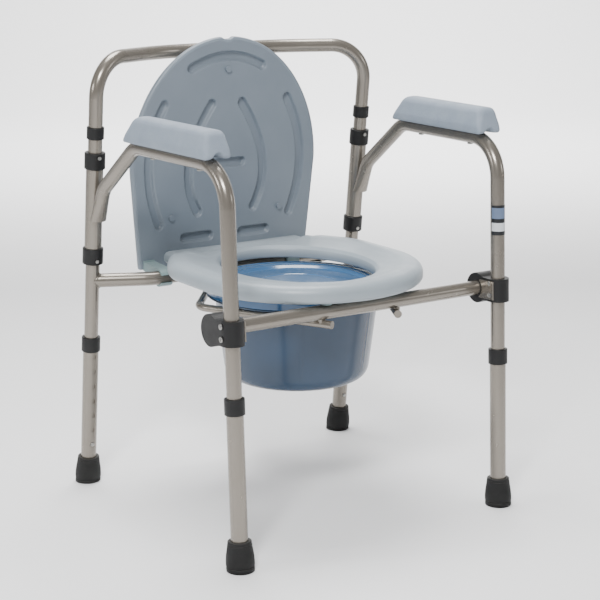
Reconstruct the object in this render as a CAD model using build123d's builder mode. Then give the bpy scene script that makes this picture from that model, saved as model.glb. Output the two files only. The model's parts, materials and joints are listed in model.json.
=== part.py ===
from build123d import *
import os
from math import atan2, cos, radians, sin, sqrt, tan

# Folding commode chair, millimetres. X runs across the chair, -Y is the front and Z is up.
# The origin is on the floor, midway between the four feet.

# Stance of the frame
REAR_HALF_WIDTH = 251.8
FRONT_HALF_WIDTH = 240.1
FOOT_HALF_DEPTH = 230.85
REAR_LEAN = 6.32
FRONT_LEAN = 2.72

# Steel tube
TUBE_RADIUS = 11.1
TUBE_WALL = 1.2
WELD_REACH = 5.0

# Telescopic legs
LEG_GAP = 0.3
LEG_WALL = 1.1
LEG_BOTTOM = 8.0
LEG_TOP = 246.0
INNER_LEG_END = 45.0
HOLE_RADIUS = 3.5
HOLE_PITCH = 25.4
HOLE_COUNT = 7
FIRST_HOLE = 68.7
LEG_COLLAR_WALL = 2.4
LEG_COLLAR_HEIGHT = 24.0
LEG_COLLAR_LIP = 7.0
FOOT_HEIGHT = 44.0
FOOT_WALL_TOP = 5.0
FOOT_WALL_BULGE = 8.5
FOOT_BULGE_HEIGHT = 18.0

# Spring buttons of the legs
BUTTON_RADIUS = 3.2
BUTTON_PROUD = 2.5
BUTTON_TRAVEL = 4.0
BUTTON_FLANGE = 4.0
BUTTON_FLANGE_THICKNESS = 1.2
SPRING_THICKNESS = 0.6
SPRING_WIDTH = 7.0
SPRING_LENGTH = 34.0

# Rear uprights and the swivel of the side frames
UPRIGHT_TOP = 590.0
SLEEVE_BOTTOM = 402.9
SLEEVE_LENGTH = 127.0
SLEEVE_GAP = 0.3
SLEEVE_WALL = 2.1
END_GAP = 0.35
SWIVEL_COLLAR_WALL = 5.2
SWIVEL_COLLAR_HEIGHT = 26.0
COLLAR_SCREW_RADIUS = 3.4
COLLAR_SCREW_INSET = 6.5
COLLAR_SCREW_PROUD = 0.8
BACKREST_COLLAR_WALL = 2.4
BACKREST_COLLAR_HEIGHT = 19.0
BACKREST_COLLAR_LIP = 6.5

# Backrest tube
BACKREST_HEIGHT = 697.0
BACKREST_CORNER_RADIUS = 57.0
BACKREST_BOW_RADIUS = 250.0
BACKREST_BOW_Y = 215.0
BACKREST_BOW_HALF = 110.0
SPIGOT_DEPTH = 58.0
SPIGOT_GAP = 0.3
SPIGOT_SHOULDER = 10.0

# Seat support: front bar, rear cross tube and bucket rods
BAR_HEIGHT = 345.0
BAR_SETBACK = 32.0
BAR_ENGAGEMENT = 20.0
HINGE_Y = 152.85
CROSS_BEND_X = 165.0
CROSS_BEND_RADIUS = 60.0
ROD_RADIUS = 6.0
ROD_REAR_X = 48.0
ROD_FRONT_X = 60.0
ROD_APEX_X = 166.0
ROD_APEX_Y = 8.0
ROD_APEX_RADIUS = 28.0
ROD_OVERHANG = 16.0

# Clamps that hold the ends of the front bar
CLAMP_HALF_WIDTH = 17.5
CLAMP_HEIGHT = 35.5
CLAMP_RISE = 1.5
BOSS_RADIUS = 23.5
SOCKET_PLAY = 0.8
SOCKET_END_WALL = 4.0
CLAMP_BOLT_RADIUS = 2.5
CLAMP_BOLT_UP = 12.0
CLAMP_BOLT_DOWN = 6.0
CLAMP_BOLT_HEAD = 5.2
CLAMP_BOLT_HEAD_HEIGHT = 3.0
CLAMP_PLATE_THICKNESS = 2.0
CLAMP_PLATE_HALF_HEIGHT = 14.5
CLAMP_PLATE_FRONT = 9.0
CLAMP_LIP = 2.0

# Side frame tube and arm pad
ARM_HEIGHT = 576.0
ARM_RUN = 245.5
ARM_FRONT_RADIUS = 60.0
ARM_REAR_RADIUS = 50.0
JOIN_HEIGHT = 455.0
KNEE_HEIGHT = 497.5
KNEE_AHEAD = 34.5
KNEE_RADIUS = 40.0
KNEE_RUN = 16.0
JOIN_END_HEIGHT = 447.0
JOIN_END_AHEAD = 14.5
FLAT_HALF_WIDTH = 13.5
FLAT_HALF_DEPTH = 7.5
PAD_SINK = 3.0
PAD_HEIGHT = 39.5
PAD_BOTTOM_WIDTH = 44.0
PAD_TOP_WIDTH = 31.0
PAD_FRONT = 43.0
PAD_LENGTH = 238.0
PAD_FRONT_SLANT = 10.0
PAD_REAR_SLANT = 42.0
PAD_ROUNDING = 5.0
PAD_SCREW_RADIUS = 2.0
PAD_SCREW_HEAD = 4.5
PAD_SCREW_HEAD_HEIGHT = 2.6
PAD_SCREW_BITE = 12.0
PAD_SCREW_BACK = (94.0, 222.0)

# Seat ring
SEAT_BOTTOM = 361.0
SEAT_THICKNESS = 28.0
SEAT_HALF_WIDTH = 183.0
SEAT_FRONT_LENGTH = 181.0
SEAT_MIDDLE_Y = -39.0
SEAT_FLANK_Y = 45.0
SEAT_SHOULDER_HALF = 146.0
SEAT_SHOULDER_AHEAD = 19.0
SEAT_LOBE_HALF = 131.0
SEAT_LOBE_TAPER = 3.0
SEAT_LOBE_BEHIND_HINGE = 32.0
SEAT_LOBE_STEP = 7.0
SEAT_LOBE_ROUNDING = 8.0
OPENING_HALF_WIDTH = 112.0
OPENING_HALF_LENGTH = 140.5
OPENING_Y = -15.5
DISH_WIDTH = 30.0
DISH_DEPTH = 8.0
SEAT_ROUNDING = 9.0
SEAT_CLIP_X = 95.0
SEAT_CLIP_WIDTH = 24.0
BUMPER_X = 60.0
BUMPER_RADIUS = 9.0
REST_GAP = 0.3

# Hinge clips round the rear cross tube
CLIP_GAP = 0.3
CLIP_WALL = 3.2
CLIP_MOUTH = 13.0
LID_CLIP_X = 145.0
LID_CLIP_WIDTH = 20.0
LID_CLIP_FOOT = 13.0
LID_SCREW_RADIUS = 3.0
LID_SCREW_HEAD = 1.5

# Lid, which stands open behind the seat
LID_OPEN_ANGLE = 87.3
LID_CLEARANCE = 5.6
LID_THICKNESS = 12.0
LID_START = 0.7
LID_REAR_HALF_WIDTH = 161.0
LID_HALF_WIDTH = 176.0
LID_STRAIGHT = 162.8
LID_ROUND_LENGTH = 209.0
GROOVE_WIDTH = 16.0
GROOVE_DEPTH = 7.5
LOWER_SLOT_LENGTH = 62.0
MIDDLE_SLOT_LENGTH = 72.0
NOTCH_WIDTH = 16.0
NOTCH_DEPTH = 4.0
LID_BUMPER_RADIUS = 5.0
LID_BUMPER_HEIGHT = 4.0

# Bucket and its lid
BUCKET_Y = -14.0
BUCKET_WALL = 2.5
BUCKET_BOTTOM = 200.0
BUCKET_MOUTH_RADIUS = 128.5
BUCKET_FOOT_RADIUS = 112.0
BUCKET_EDGE_RADIUS = 34.0
BUCKET_RIM_RADIUS = 141.5
BUCKET_RIM_THICKNESS = 3.0
BUCKET_RIM_RISE = 12.0
BUCKET_LID_GAP = 0.3
BUCKET_LID_HEIGHT = 8.0
BUCKET_DISH_RADIUS = 112.0
BUCKET_DISH_DEPTH = 5.0

# Label on the right front leg
LABEL_BOTTOM = 432.0
LABEL_HEIGHT = 46.0
LABEL_THICKNESS = 0.3

SIDES = {"left": -1, "right": 1}
RISE = Vector(0, 0, 1)
LEG_INNER = TUBE_RADIUS + LEG_GAP
LEG_OUTER = LEG_INNER + LEG_WALL
TUBE_BORE = TUBE_RADIUS - TUBE_WALL
COLLAR_CENTRE = LEG_TOP - LEG_COLLAR_HEIGHT / 2 + LEG_COLLAR_LIP
JOIN_Y = FOOT_HALF_DEPTH - JOIN_HEIGHT * tan(radians(REAR_LEAN))
SIDE_REACH = sqrt((REAR_HALF_WIDTH - FRONT_HALF_WIDTH) ** 2 + (JOIN_Y + FOOT_HALF_DEPTH) ** 2)
TOE_IN = atan2(REAR_HALF_WIDTH - FRONT_HALF_WIDTH, JOIN_Y + FOOT_HALF_DEPTH)
SLEEVE_RADIUS = TUBE_RADIUS + SLEEVE_GAP + SLEEVE_WALL
LEG_AT_BAR = BAR_HEIGHT * tan(radians(FRONT_LEAN))
BAR_Y = -FOOT_HALF_DEPTH + LEG_AT_BAR * cos(TOE_IN) + BAR_SETBACK
CLAMP_X = FRONT_HALF_WIDTH + LEG_AT_BAR * sin(TOE_IN)
BAR_HALF_LENGTH = CLAMP_X - CLAMP_HALF_WIDTH + BAR_ENGAGEMENT
ROD_HEIGHT = BAR_HEIGHT - TUBE_RADIUS - ROD_RADIUS
SEAT_TOP = SEAT_BOTTOM + SEAT_THICKNESS
LID_OFFSET = SEAT_TOP + LID_CLEARANCE - BAR_HEIGHT
CLIP_INNER = TUBE_RADIUS + CLIP_GAP
CLIP_OUTER = CLIP_INNER + CLIP_WALL


def save(part, name):
    """Label one finished piece and write its STEP file."""
    part.label = name
    export_step(part, f"parts/{name}.step")


def rear_plane(side):
    """Plane square to a rear leg where it meets the floor; its Z runs up the leg."""
    lean = radians(REAR_LEAN)
    foot = (side * REAR_HALF_WIDTH, FOOT_HALF_DEPTH, 0)
    return Plane(origin=foot, x_dir=(1, 0, 0), z_dir=(0, -sin(lean), cos(lean)))


def front_plane(side):
    """Plane square to a front leg where it meets the floor; its Z runs up the leg."""
    lean = radians(FRONT_LEAN)
    across = (cos(TOE_IN), -side * sin(TOE_IN), 0)
    along = (side * sin(TOE_IN) * sin(lean), cos(TOE_IN) * sin(lean), cos(lean))
    return Plane(origin=side_point(side, 0, 0), x_dir=across, z_dir=along)


def side_point(side, back, height):
    """Point in the upright plane of a side frame, measured back from the front foot."""
    x = side * (FRONT_HALF_WIDTH + back * sin(TOE_IN))
    return Vector(x, -FOOT_HALF_DEPTH + back * cos(TOE_IN), height)


def local(plane, x, y, z):
    """Point given in the coordinates of a plane."""
    return plane.from_local_coords(Vector(x, y, z))


def bar_between(start, end, radius):
    """Solid round bar from one point to another."""
    with BuildPart() as bar:
        with BuildSketch(Plane(origin=start, z_dir=end - start)):
            Circle(radius)
        extrude(amount=(end - start).length)
    return bar.part


def straight_tube(plane, bottom, top, outer, bore):
    """Straight tube between two heights on a leg's plane."""
    with BuildPart() as tube:
        with BuildSketch(plane.offset(bottom)):
            Circle(outer)
            Circle(bore, mode=Mode.SUBTRACT)
        extrude(amount=top - bottom)
    return tube.part


def bent_tube(points, bends, outer, bore):
    """Tube, or a solid rod when the bore is 0, along straight runs joined by tangent bends."""
    with BuildPart() as tube:
        with BuildLine() as path:
            FilletPolyline(*points, radius=bends)
        with BuildSketch(Plane(origin=path.line @ 0, z_dir=path.line % 0)):
            Circle(outer)
            if bore:
                Circle(bore, mode=Mode.SUBTRACT)
        sweep(path=path.line)
    return tube.part


def collar(plane, bottom, height, outer, bore, lip, lip_bore, rounding):
    """Moulded ring round a tube, with a narrower bore over the lip at its top."""
    with BuildPart() as ring:
        with BuildSketch(plane.offset(bottom)):
            Circle(outer)
        extrude(amount=height)
        fillet(ring.edges(), rounding)
        with BuildSketch(plane.offset(bottom)):
            Circle(bore)
        extrude(amount=height - lip, mode=Mode.SUBTRACT)
        with BuildSketch(plane.offset(bottom + height - lip)):
            Circle(lip_bore)
        extrude(amount=lip, mode=Mode.SUBTRACT)
    return ring.part


def cut(part, *tools):
    """Part with each tool's shape taken out of it."""
    with BuildPart() as piece:
        add(part)
        for tool in tools:
            add(tool, mode=Mode.SUBTRACT)
    return piece.part


def join(*solids):
    """Several solids in one node."""
    with BuildPart() as node:
        for solid in solids:
            add(solid)
    return node.part


def button_hole(plane, facing, along):
    """Cutter for one button hole, through one wall of both leg tubes."""
    middle = local(plane, 0, 0, along)
    return bar_between(middle, local(plane, 0, facing * 2 * LEG_OUTER, along), HOLE_RADIUS)


def leg_extension(plane, facing):
    """Outer leg tube with its row of button holes."""
    tube = straight_tube(plane, LEG_BOTTOM, LEG_TOP, LEG_OUTER, LEG_INNER)
    holes = [button_hole(plane, facing, FIRST_HOLE + HOLE_PITCH * i) for i in range(HOLE_COUNT)]
    return cut(tube, *holes)


def leg_collar(plane):
    """Guide ring on the top end of an outer leg tube."""
    bottom = COLLAR_CENTRE - LEG_COLLAR_HEIGHT / 2
    outer = LEG_OUTER + LEG_COLLAR_WALL
    return collar(plane, bottom, LEG_COLLAR_HEIGHT, outer, LEG_OUTER, LEG_COLLAR_LIP, LEG_INNER, 1.2)


def rubber_foot(plane):
    """Ferrule round the leg's end, bulged near its base and cut flat along the floor."""
    below = 2 * FOOT_WALL_BULGE
    profile = Plane(origin=plane.origin, x_dir=plane.x_dir, z_dir=-plane.y_dir)
    with BuildPart() as foot:
        with BuildSketch(profile):
            with BuildLine():
                bulge = LEG_OUTER + FOOT_WALL_BULGE
                neck = LEG_OUTER + FOOT_WALL_TOP
                Line((0, -below), (bulge, -below))
                Line((bulge, -below), (bulge, 0))
                shoulder = Spline(
                    (bulge, 0), (bulge, FOOT_BULGE_HEIGHT), (neck, FOOT_HEIGHT), tangents=[(0, 1), (0, 1)]
                )
                Line(shoulder @ 1, (LEG_OUTER, FOOT_HEIGHT))
                Line((LEG_OUTER, FOOT_HEIGHT), (LEG_OUTER, LEG_BOTTOM))
                Line((LEG_OUTER, LEG_BOTTOM), (0, LEG_BOTTOM))
                Line((0, LEG_BOTTOM), (0, -below))
            make_face()
        revolve(axis=Axis(plane.origin, plane.z_dir))
        split(bisect_by=Plane.XY, keep=Keep.TOP)
    return foot.part


def spring_button(plane, facing):
    """Snap button: a round pin through both leg tubes, with a flange inside."""
    tip = LEG_OUTER + BUTTON_PROUD
    flange = sqrt(TUBE_BORE**2 - BUTTON_FLANGE**2) - LEG_GAP
    inner = flange - BUTTON_FLANGE_THICKNESS
    with BuildPart() as button:
        outward = plane.y_dir * facing
        with BuildSketch(Plane(origin=local(plane, 0, facing * inner, FIRST_HOLE), z_dir=outward)):
            Circle(BUTTON_RADIUS)
        extrude(amount=tip - inner)
        fillet(button.edges().sort_by(Axis(plane.origin, outward))[-1], BUTTON_RADIUS / 2)
        with BuildSketch(Plane(origin=local(plane, 0, facing * inner, FIRST_HOLE), z_dir=outward)):
            Circle(BUTTON_FLANGE)
        extrude(amount=BUTTON_FLANGE_THICKNESS)
    return button.part


def button_spring(plane, facing):
    """Hairpin strip inside the inner leg tube, behind the snap button."""
    behind = sqrt(TUBE_BORE**2 - (SPRING_WIDTH / 2) ** 2)
    flange = sqrt(TUBE_BORE**2 - BUTTON_FLANGE**2) - LEG_GAP - BUTTON_FLANGE_THICKNESS
    ahead = flange - BUTTON_TRAVEL - SPRING_THICKNESS / 2
    middle = facing * (ahead - behind) / 2
    gape = ahead + behind
    across = plane.y_dir.cross(plane.z_dir)
    strip = Plane(origin=local(plane, 0, 0, FIRST_HOLE), x_dir=plane.y_dir, z_dir=across)
    with BuildPart() as spring:
        with BuildSketch(strip):
            with Locations((middle, 0)):
                SlotOverall(2 * SPRING_LENGTH, gape, rotation=90)
                inner = 2 * SPRING_THICKNESS
                SlotOverall(2 * SPRING_LENGTH - inner, gape - inner, rotation=90, mode=Mode.SUBTRACT)
            with Locations((middle, -BUTTON_FLANGE)):
                Rectangle(2 * gape, 2 * SPRING_LENGTH, align=(Align.CENTER, Align.MAX), mode=Mode.SUBTRACT)
        extrude(amount=SPRING_WIDTH / 2, both=True)
    return spring.part


def rear_upright(side):
    """Leaning rear tube: the inner leg below, the swivel axis and backrest socket above."""
    plane = rear_plane(side)
    tube = straight_tube(plane, INNER_LEG_END, UPRIGHT_TOP, TUBE_RADIUS, TUBE_BORE)
    return cut(tube, button_hole(plane, -1, FIRST_HOLE))


def rear_cross_tube():
    """Cross tube between the uprights, bowed forward; its straight middle is the hinge."""
    reach = FOOT_HALF_DEPTH - BAR_HEIGHT * tan(radians(REAR_LEAN))
    points = [
        (-REAR_HALF_WIDTH, reach, BAR_HEIGHT),
        (-CROSS_BEND_X, HINGE_Y, BAR_HEIGHT),
        (CROSS_BEND_X, HINGE_Y, BAR_HEIGHT),
        (REAR_HALF_WIDTH, reach, BAR_HEIGHT),
    ]
    tube = bent_tube(points, [CROSS_BEND_RADIUS] * 2, TUBE_RADIUS, TUBE_BORE)
    cores = []
    for side in SIDES.values():
        plane = rear_plane(side)
        cores.append(bar_between(local(plane, 0, 0, LEG_TOP), local(plane, 0, 0, UPRIGHT_TOP), TUBE_RADIUS))
    return cut(tube, *cores)


def front_bar():
    """Straight bar under the front of the seat; its ends stand in the clamps."""
    middle = Plane(origin=(0, BAR_Y, BAR_HEIGHT), x_dir=(0, 1, 0), z_dir=(1, 0, 0))
    return straight_tube(middle, -BAR_HALF_LENGTH, BAR_HALF_LENGTH, TUBE_RADIUS, TUBE_BORE)


def weld_block(x, y):
    """Weld between a bucket rod and the tube that crosses over it."""
    with BuildPart() as weld:
        with BuildSketch(Plane.XY.offset(ROD_HEIGHT).move(Location((x, y)))):
            RectangleRounded(2 * WELD_REACH, 2 * WELD_REACH, WELD_REACH / 2)
        extrude(amount=ROD_RADIUS + WELD_REACH)
    return weld.part


def bucket_rod(side):
    """Bent rod that carries the bucket rim, welded under the front bar and the cross tube."""
    points = [
        (side * ROD_REAR_X, HINGE_Y + TUBE_RADIUS / 2, ROD_HEIGHT),
        (side * ROD_APEX_X, ROD_APEX_Y, ROD_HEIGHT),
        (side * ROD_FRONT_X, BAR_Y - ROD_OVERHANG, ROD_HEIGHT),
    ]
    rod = bent_tube(points, [ROD_APEX_RADIUS], ROD_RADIUS, 0)
    front_x = ROD_FRONT_X + (ROD_APEX_X - ROD_FRONT_X) * ROD_OVERHANG / (ROD_APEX_Y - BAR_Y + ROD_OVERHANG)
    rear_x = ROD_REAR_X + TUBE_RADIUS / 2
    tubes = [
        bar_between(Vector(-CROSS_BEND_X, y, BAR_HEIGHT), Vector(CROSS_BEND_X, y, BAR_HEIGHT), TUBE_RADIUS)
        for y in (BAR_Y, HINGE_Y)
    ]
    welded = join(rod, weld_block(side * front_x, BAR_Y), weld_block(side * rear_x, HINGE_Y))
    return cut(welded, *tubes)


def swivel_collar(plane, bottom):
    """One of the two stop collars that hold a swivel sleeve on its upright."""
    outer = TUBE_RADIUS + SWIVEL_COLLAR_WALL
    return collar(plane, bottom, SWIVEL_COLLAR_HEIGHT, outer, TUBE_RADIUS, 1, TUBE_RADIUS, 1.5)


def swivel_screw(plane, along):
    """Screw in the front of a stop collar, down to the upright."""
    head = TUBE_RADIUS + SWIVEL_COLLAR_WALL + COLLAR_SCREW_PROUD
    tip = local(plane, 0, -TUBE_RADIUS, along)
    return bar_between(tip, local(plane, 0, -head, along), COLLAR_SCREW_RADIUS)


def swivel_fittings(side):
    """Both stop collars of one upright and their two screws."""
    plane = rear_plane(side)
    low = SLEEVE_BOTTOM - END_GAP - SWIVEL_COLLAR_HEIGHT
    high = SLEEVE_BOTTOM + SLEEVE_LENGTH + END_GAP
    tops = (low + COLLAR_SCREW_INSET, high + SWIVEL_COLLAR_HEIGHT - COLLAR_SCREW_INSET)
    top = high + SWIVEL_COLLAR_HEIGHT
    core = bar_between(local(plane, 0, 0, low), local(plane, 0, 0, top), TUBE_RADIUS)
    screws = [cut(swivel_screw(plane, along), core) for along in tops]
    rings = [cut(swivel_collar(plane, bottom), *screws) for bottom in (low, high)]
    return join(*rings), join(*screws)


def backrest_collar(side):
    """Ring over the joint between an upright and the backrest tube."""
    plane = rear_plane(side)
    bottom = UPRIGHT_TOP + BACKREST_COLLAR_LIP - BACKREST_COLLAR_HEIGHT
    outer = TUBE_RADIUS + BACKREST_COLLAR_WALL
    free = TUBE_RADIUS + CLIP_GAP
    return collar(
        plane, bottom, BACKREST_COLLAR_HEIGHT, outer, TUBE_RADIUS, BACKREST_COLLAR_LIP, free, 1.2
    )


def backrest_tube():
    """Bowed U-shaped tube whose spigots slide in the tops of the uprights."""
    lean = tan(radians(REAR_LEAN))
    top_y = FOOT_HALF_DEPTH - BACKREST_HEIGHT * lean
    base = {side: local(rear_plane(side), 0, 0, UPRIGHT_TOP + END_GAP) for side in SIDES.values()}
    points = [
        base[-1],
        (-REAR_HALF_WIDTH, top_y, BACKREST_HEIGHT),
        (-BACKREST_BOW_HALF, BACKREST_BOW_Y, BACKREST_HEIGHT),
        (BACKREST_BOW_HALF, BACKREST_BOW_Y, BACKREST_HEIGHT),
        (REAR_HALF_WIDTH, top_y, BACKREST_HEIGHT),
        base[1],
    ]
    bends = [BACKREST_CORNER_RADIUS, BACKREST_BOW_RADIUS, BACKREST_BOW_RADIUS, BACKREST_CORNER_RADIUS]
    bow = bent_tube(points, bends, TUBE_RADIUS, TUBE_BORE)
    spigots = []
    for side in SIDES.values():
        plane = rear_plane(side)
        start = UPRIGHT_TOP + END_GAP
        outer = TUBE_BORE - SPIGOT_GAP
        bore = outer - TUBE_WALL
        filled = TUBE_BORE + SPIGOT_GAP
        spigots.append(straight_tube(plane, start - SPIGOT_DEPTH, start + SPIGOT_SHOULDER, outer, bore))
        spigots.append(straight_tube(plane, start, start + SPIGOT_SHOULDER, filled, bore))
    return join(bow, *spigots)


def flattened_end(start, end, across, inset):
    """Solid that runs from the tube's round section to its flattened end, inset by a wall."""
    along = end - start
    with BuildPart() as taper:
        with BuildSketch(Plane(origin=start, x_dir=across, z_dir=along)):
            Circle(TUBE_RADIUS - inset)
        with BuildSketch(Plane(origin=end, x_dir=across, z_dir=along)):
            Ellipse(FLAT_HALF_WIDTH - inset, FLAT_HALF_DEPTH - inset)
        loft()
    return taper.part


def side_tube(side):
    """Front leg, arm and rear diagonal in one tube, flattened where it meets the sleeve."""
    plane = front_plane(side)
    lean = tan(radians(FRONT_LEAN))
    knee = side_point(side, SIDE_REACH - KNEE_AHEAD, KNEE_HEIGHT)
    end = side_point(side, SIDE_REACH - JOIN_END_AHEAD, JOIN_END_HEIGHT)
    drop = (end - knee).normalized()
    round_end = knee + drop * KNEE_RUN
    run = [
        local(plane, 0, 0, INNER_LEG_END),
        side_point(side, ARM_HEIGHT * lean, ARM_HEIGHT),
        side_point(side, ARM_HEIGHT * lean + ARM_RUN, ARM_HEIGHT),
        knee,
        round_end,
    ]
    tube = bent_tube(run, [ARM_FRONT_RADIUS, ARM_REAR_RADIUS, KNEE_RADIUS], TUBE_RADIUS, TUBE_BORE)
    outside = flattened_end(round_end, end, plane.x_dir, 0)
    inside = flattened_end(round_end, end, plane.x_dir, TUBE_WALL)
    sleeve = rear_plane(side)
    core = bar_between(
        local(sleeve, 0, 0, SLEEVE_BOTTOM), local(sleeve, 0, 0, SLEEVE_BOTTOM + SLEEVE_LENGTH), SLEEVE_RADIUS
    )
    cutters = [core, button_hole(plane, 1, FIRST_HOLE), *pad_screws(side), *clamp_bolts(side)]
    return cut(join(tube, cut(outside, inside)), *cutters)


def swivel_sleeve(side):
    """Sleeve that turns on the rear upright and carries the side frame."""
    top = SLEEVE_BOTTOM + SLEEVE_LENGTH
    return straight_tube(rear_plane(side), SLEEVE_BOTTOM, top, SLEEVE_RADIUS, TUBE_RADIUS + SLEEVE_GAP)


def pad_screws(side):
    """Two screws up through the arm tube into the pad."""
    screws = []
    for back in PAD_SCREW_BACK:
        seat = side_point(side, back, ARM_HEIGHT - TUBE_RADIUS)
        head = bar_between(seat - RISE * PAD_SCREW_HEAD_HEIGHT, seat + RISE * 0.6, PAD_SCREW_HEAD)
        shank = bar_between(seat, seat + RISE * (2 * TUBE_RADIUS + PAD_SCREW_BITE), PAD_SCREW_RADIUS)
        screws.append(join(head, shank))
    return screws


def arm_pad(side):
    """Tapered pad on the arm tube, grooved underneath where it sits on the tube."""
    bottom = ARM_HEIGHT + TUBE_RADIUS - PAD_SINK
    top = bottom + PAD_HEIGHT
    backward = side_point(side, 1, 0) - side_point(side, 0, 0)
    flank = Plane(origin=side_point(side, 0, 0), x_dir=backward, z_dir=backward.cross(RISE))
    section = Plane(origin=side_point(side, PAD_FRONT, 0), x_dir=front_plane(side).x_dir, z_dir=-backward)
    back = PAD_FRONT + PAD_LENGTH
    with BuildPart() as pad:
        with BuildSketch(section) as cross:
            with BuildLine():
                Polyline(
                    (-PAD_BOTTOM_WIDTH / 2, bottom),
                    (PAD_BOTTOM_WIDTH / 2, bottom),
                    (PAD_BOTTOM_WIDTH / 2, bottom + PAD_HEIGHT / 3),
                    (PAD_TOP_WIDTH / 2, top),
                    (-PAD_TOP_WIDTH / 2, top),
                    (-PAD_BOTTOM_WIDTH / 2, bottom + PAD_HEIGHT / 3),
                    close=True,
                )
            make_face()
            fillet(cross.vertices().filter_by_position(Axis.Y, bottom + 1, top + 1), PAD_ROUNDING)
        extrude(amount=-PAD_LENGTH)
        with BuildSketch(flank):
            with BuildLine():
                Polyline(
                    (PAD_FRONT, bottom),
                    (back, bottom),
                    (back - PAD_REAR_SLANT, top),
                    (PAD_FRONT + PAD_FRONT_SLANT, top),
                    close=True,
                )
            make_face()
        extrude(amount=PAD_BOTTOM_WIDTH, both=True, mode=Mode.INTERSECT)
    groove = bar_between(
        side_point(side, PAD_FRONT - 1, ARM_HEIGHT), side_point(side, back + 1, ARM_HEIGHT), TUBE_RADIUS
    )
    return cut(pad.part, groove, *pad_screws(side))


def clamp_bolts(side):
    """Two bolts through a bar clamp and the front leg inside it."""
    plane = front_plane(side)
    middle = BAR_HEIGHT / cos(radians(FRONT_LEAN))
    outside = side * CLAMP_HALF_WIDTH
    inside = -side * (CLAMP_HALF_WIDTH - CLAMP_PLATE_THICKNESS)
    bolts = []
    for rise in (CLAMP_BOLT_UP, -CLAMP_BOLT_DOWN):
        along = middle + rise
        far = inside - side * CLAMP_BOLT_HEAD_HEIGHT
        near = outside + side * CLAMP_BOLT_HEAD_HEIGHT
        shank = bar_between(local(plane, far, 0, along), local(plane, near, 0, along), CLAMP_BOLT_RADIUS)
        head = bar_between(local(plane, outside, 0, along), local(plane, near, 0, along), CLAMP_BOLT_HEAD)
        bolts.append(join(shank, head))
    return bolts


def bar_clamp(side):
    """Moulded clamp: a sleeve fixed round the front leg and a blind socket for the front bar."""
    plane = front_plane(side)
    middle = BAR_HEIGHT / cos(radians(FRONT_LEAN)) + CLAMP_RISE
    socket = TUBE_RADIUS + SOCKET_PLAY
    centre = side * CLAMP_X
    inner_x = centre - side * (CLAMP_HALF_WIDTH + 1)
    leg_y = BAR_Y - BAR_SETBACK
    side_view = Plane(origin=(centre, 0, 0), x_dir=(0, 1, 0), z_dir=(1, 0, 0))
    neck_bottom = BAR_HEIGHT + CLAMP_RISE - CLAMP_HEIGHT / 2
    with BuildPart() as clamp:
        with BuildSketch(side_view) as outline:
            with Locations((BAR_Y, BAR_HEIGHT)):
                Circle(BOSS_RADIUS)
            with Locations((leg_y - 2 * CLAMP_HALF_WIDTH, neck_bottom)):
                Rectangle(2 * CLAMP_HALF_WIDTH + BAR_SETBACK, CLAMP_HEIGHT, align=(Align.MIN, Align.MIN))
            fillet(outline.vertices().group_by(Axis.X)[-1], BOSS_RADIUS / 4)
        extrude(amount=CLAMP_HALF_WIDTH, both=True)
        with BuildSketch(plane.offset(middle - 2 * CLAMP_HEIGHT)):
            Circle(CLAMP_HALF_WIDTH)
            Rectangle(
                2 * CLAMP_HALF_WIDTH, BAR_SETBACK + 2 * BOSS_RADIUS, align=(Align.CENTER, Align.MIN)
            )
        extrude(amount=4 * CLAMP_HEIGHT, mode=Mode.INTERSECT)
    bore = bar_between(
        local(plane, 0, 0, middle - CLAMP_HEIGHT), local(plane, 0, 0, middle + CLAMP_HEIGHT), TUBE_RADIUS
    )
    end_x = centre + side * (CLAMP_HALF_WIDTH - SOCKET_END_WALL)
    pocket = bar_between(Vector(inner_x, BAR_Y, BAR_HEIGHT), Vector(end_x, BAR_Y, BAR_HEIGHT), socket)
    return cut(clamp.part, bore, pocket, clamp_plate(side, 0), *clamp_bolts(side))


def clamp_plate(side, holes):
    """Steel plate let into the inner face of a clamp, hollowed round the socket's lip."""
    plane = front_plane(side)
    middle = BAR_HEIGHT / cos(radians(FRONT_LEAN)) + CLAMP_RISE
    corner = local(plane, -side * CLAMP_HALF_WIDTH, -CLAMP_PLATE_FRONT, middle)
    length = CLAMP_PLATE_FRONT + BAR_SETBACK
    with BuildPart() as plate:
        with BuildSketch(Plane(origin=corner, x_dir=plane.y_dir, z_dir=plane.x_dir * side)):
            Rectangle(length, 2 * CLAMP_PLATE_HALF_HEIGHT, align=(Align.MIN, Align.CENTER))
        extrude(amount=CLAMP_PLATE_THICKNESS)
    lip = TUBE_RADIUS + SOCKET_PLAY + CLAMP_LIP
    ring = bar_between(Vector(0, BAR_Y, BAR_HEIGHT), Vector(side * 2 * CLAMP_X, BAR_Y, BAR_HEIGHT), lip)
    rear = Plane(origin=(0, BAR_Y - lip / 2, 0), x_dir=(1, 0, 0), z_dir=(0, 1, 0))
    trimmed = cut(plate.part, ring)
    with BuildPart() as kept:
        add(trimmed)
        split(bisect_by=rear, keep=Keep.BOTTOM)
    return cut(kept.part, *clamp_bolts(side)) if holes else kept.part


def leg_label(side):
    """Wrapped label on a front leg, on the half that faces forward and outward."""
    plane = front_plane(side)
    with BuildPart() as label:
        with BuildSketch(plane.offset(LABEL_BOTTOM / cos(radians(FRONT_LEAN)))):
            Circle(TUBE_RADIUS + LABEL_THICKNESS)
            Circle(TUBE_RADIUS, mode=Mode.SUBTRACT)
            Rectangle(4 * TUBE_RADIUS, 2 * TUBE_RADIUS, align=(Align.CENTER, Align.MIN), mode=Mode.SUBTRACT)
        extrude(amount=LABEL_HEIGHT)
    return label.part


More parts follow.
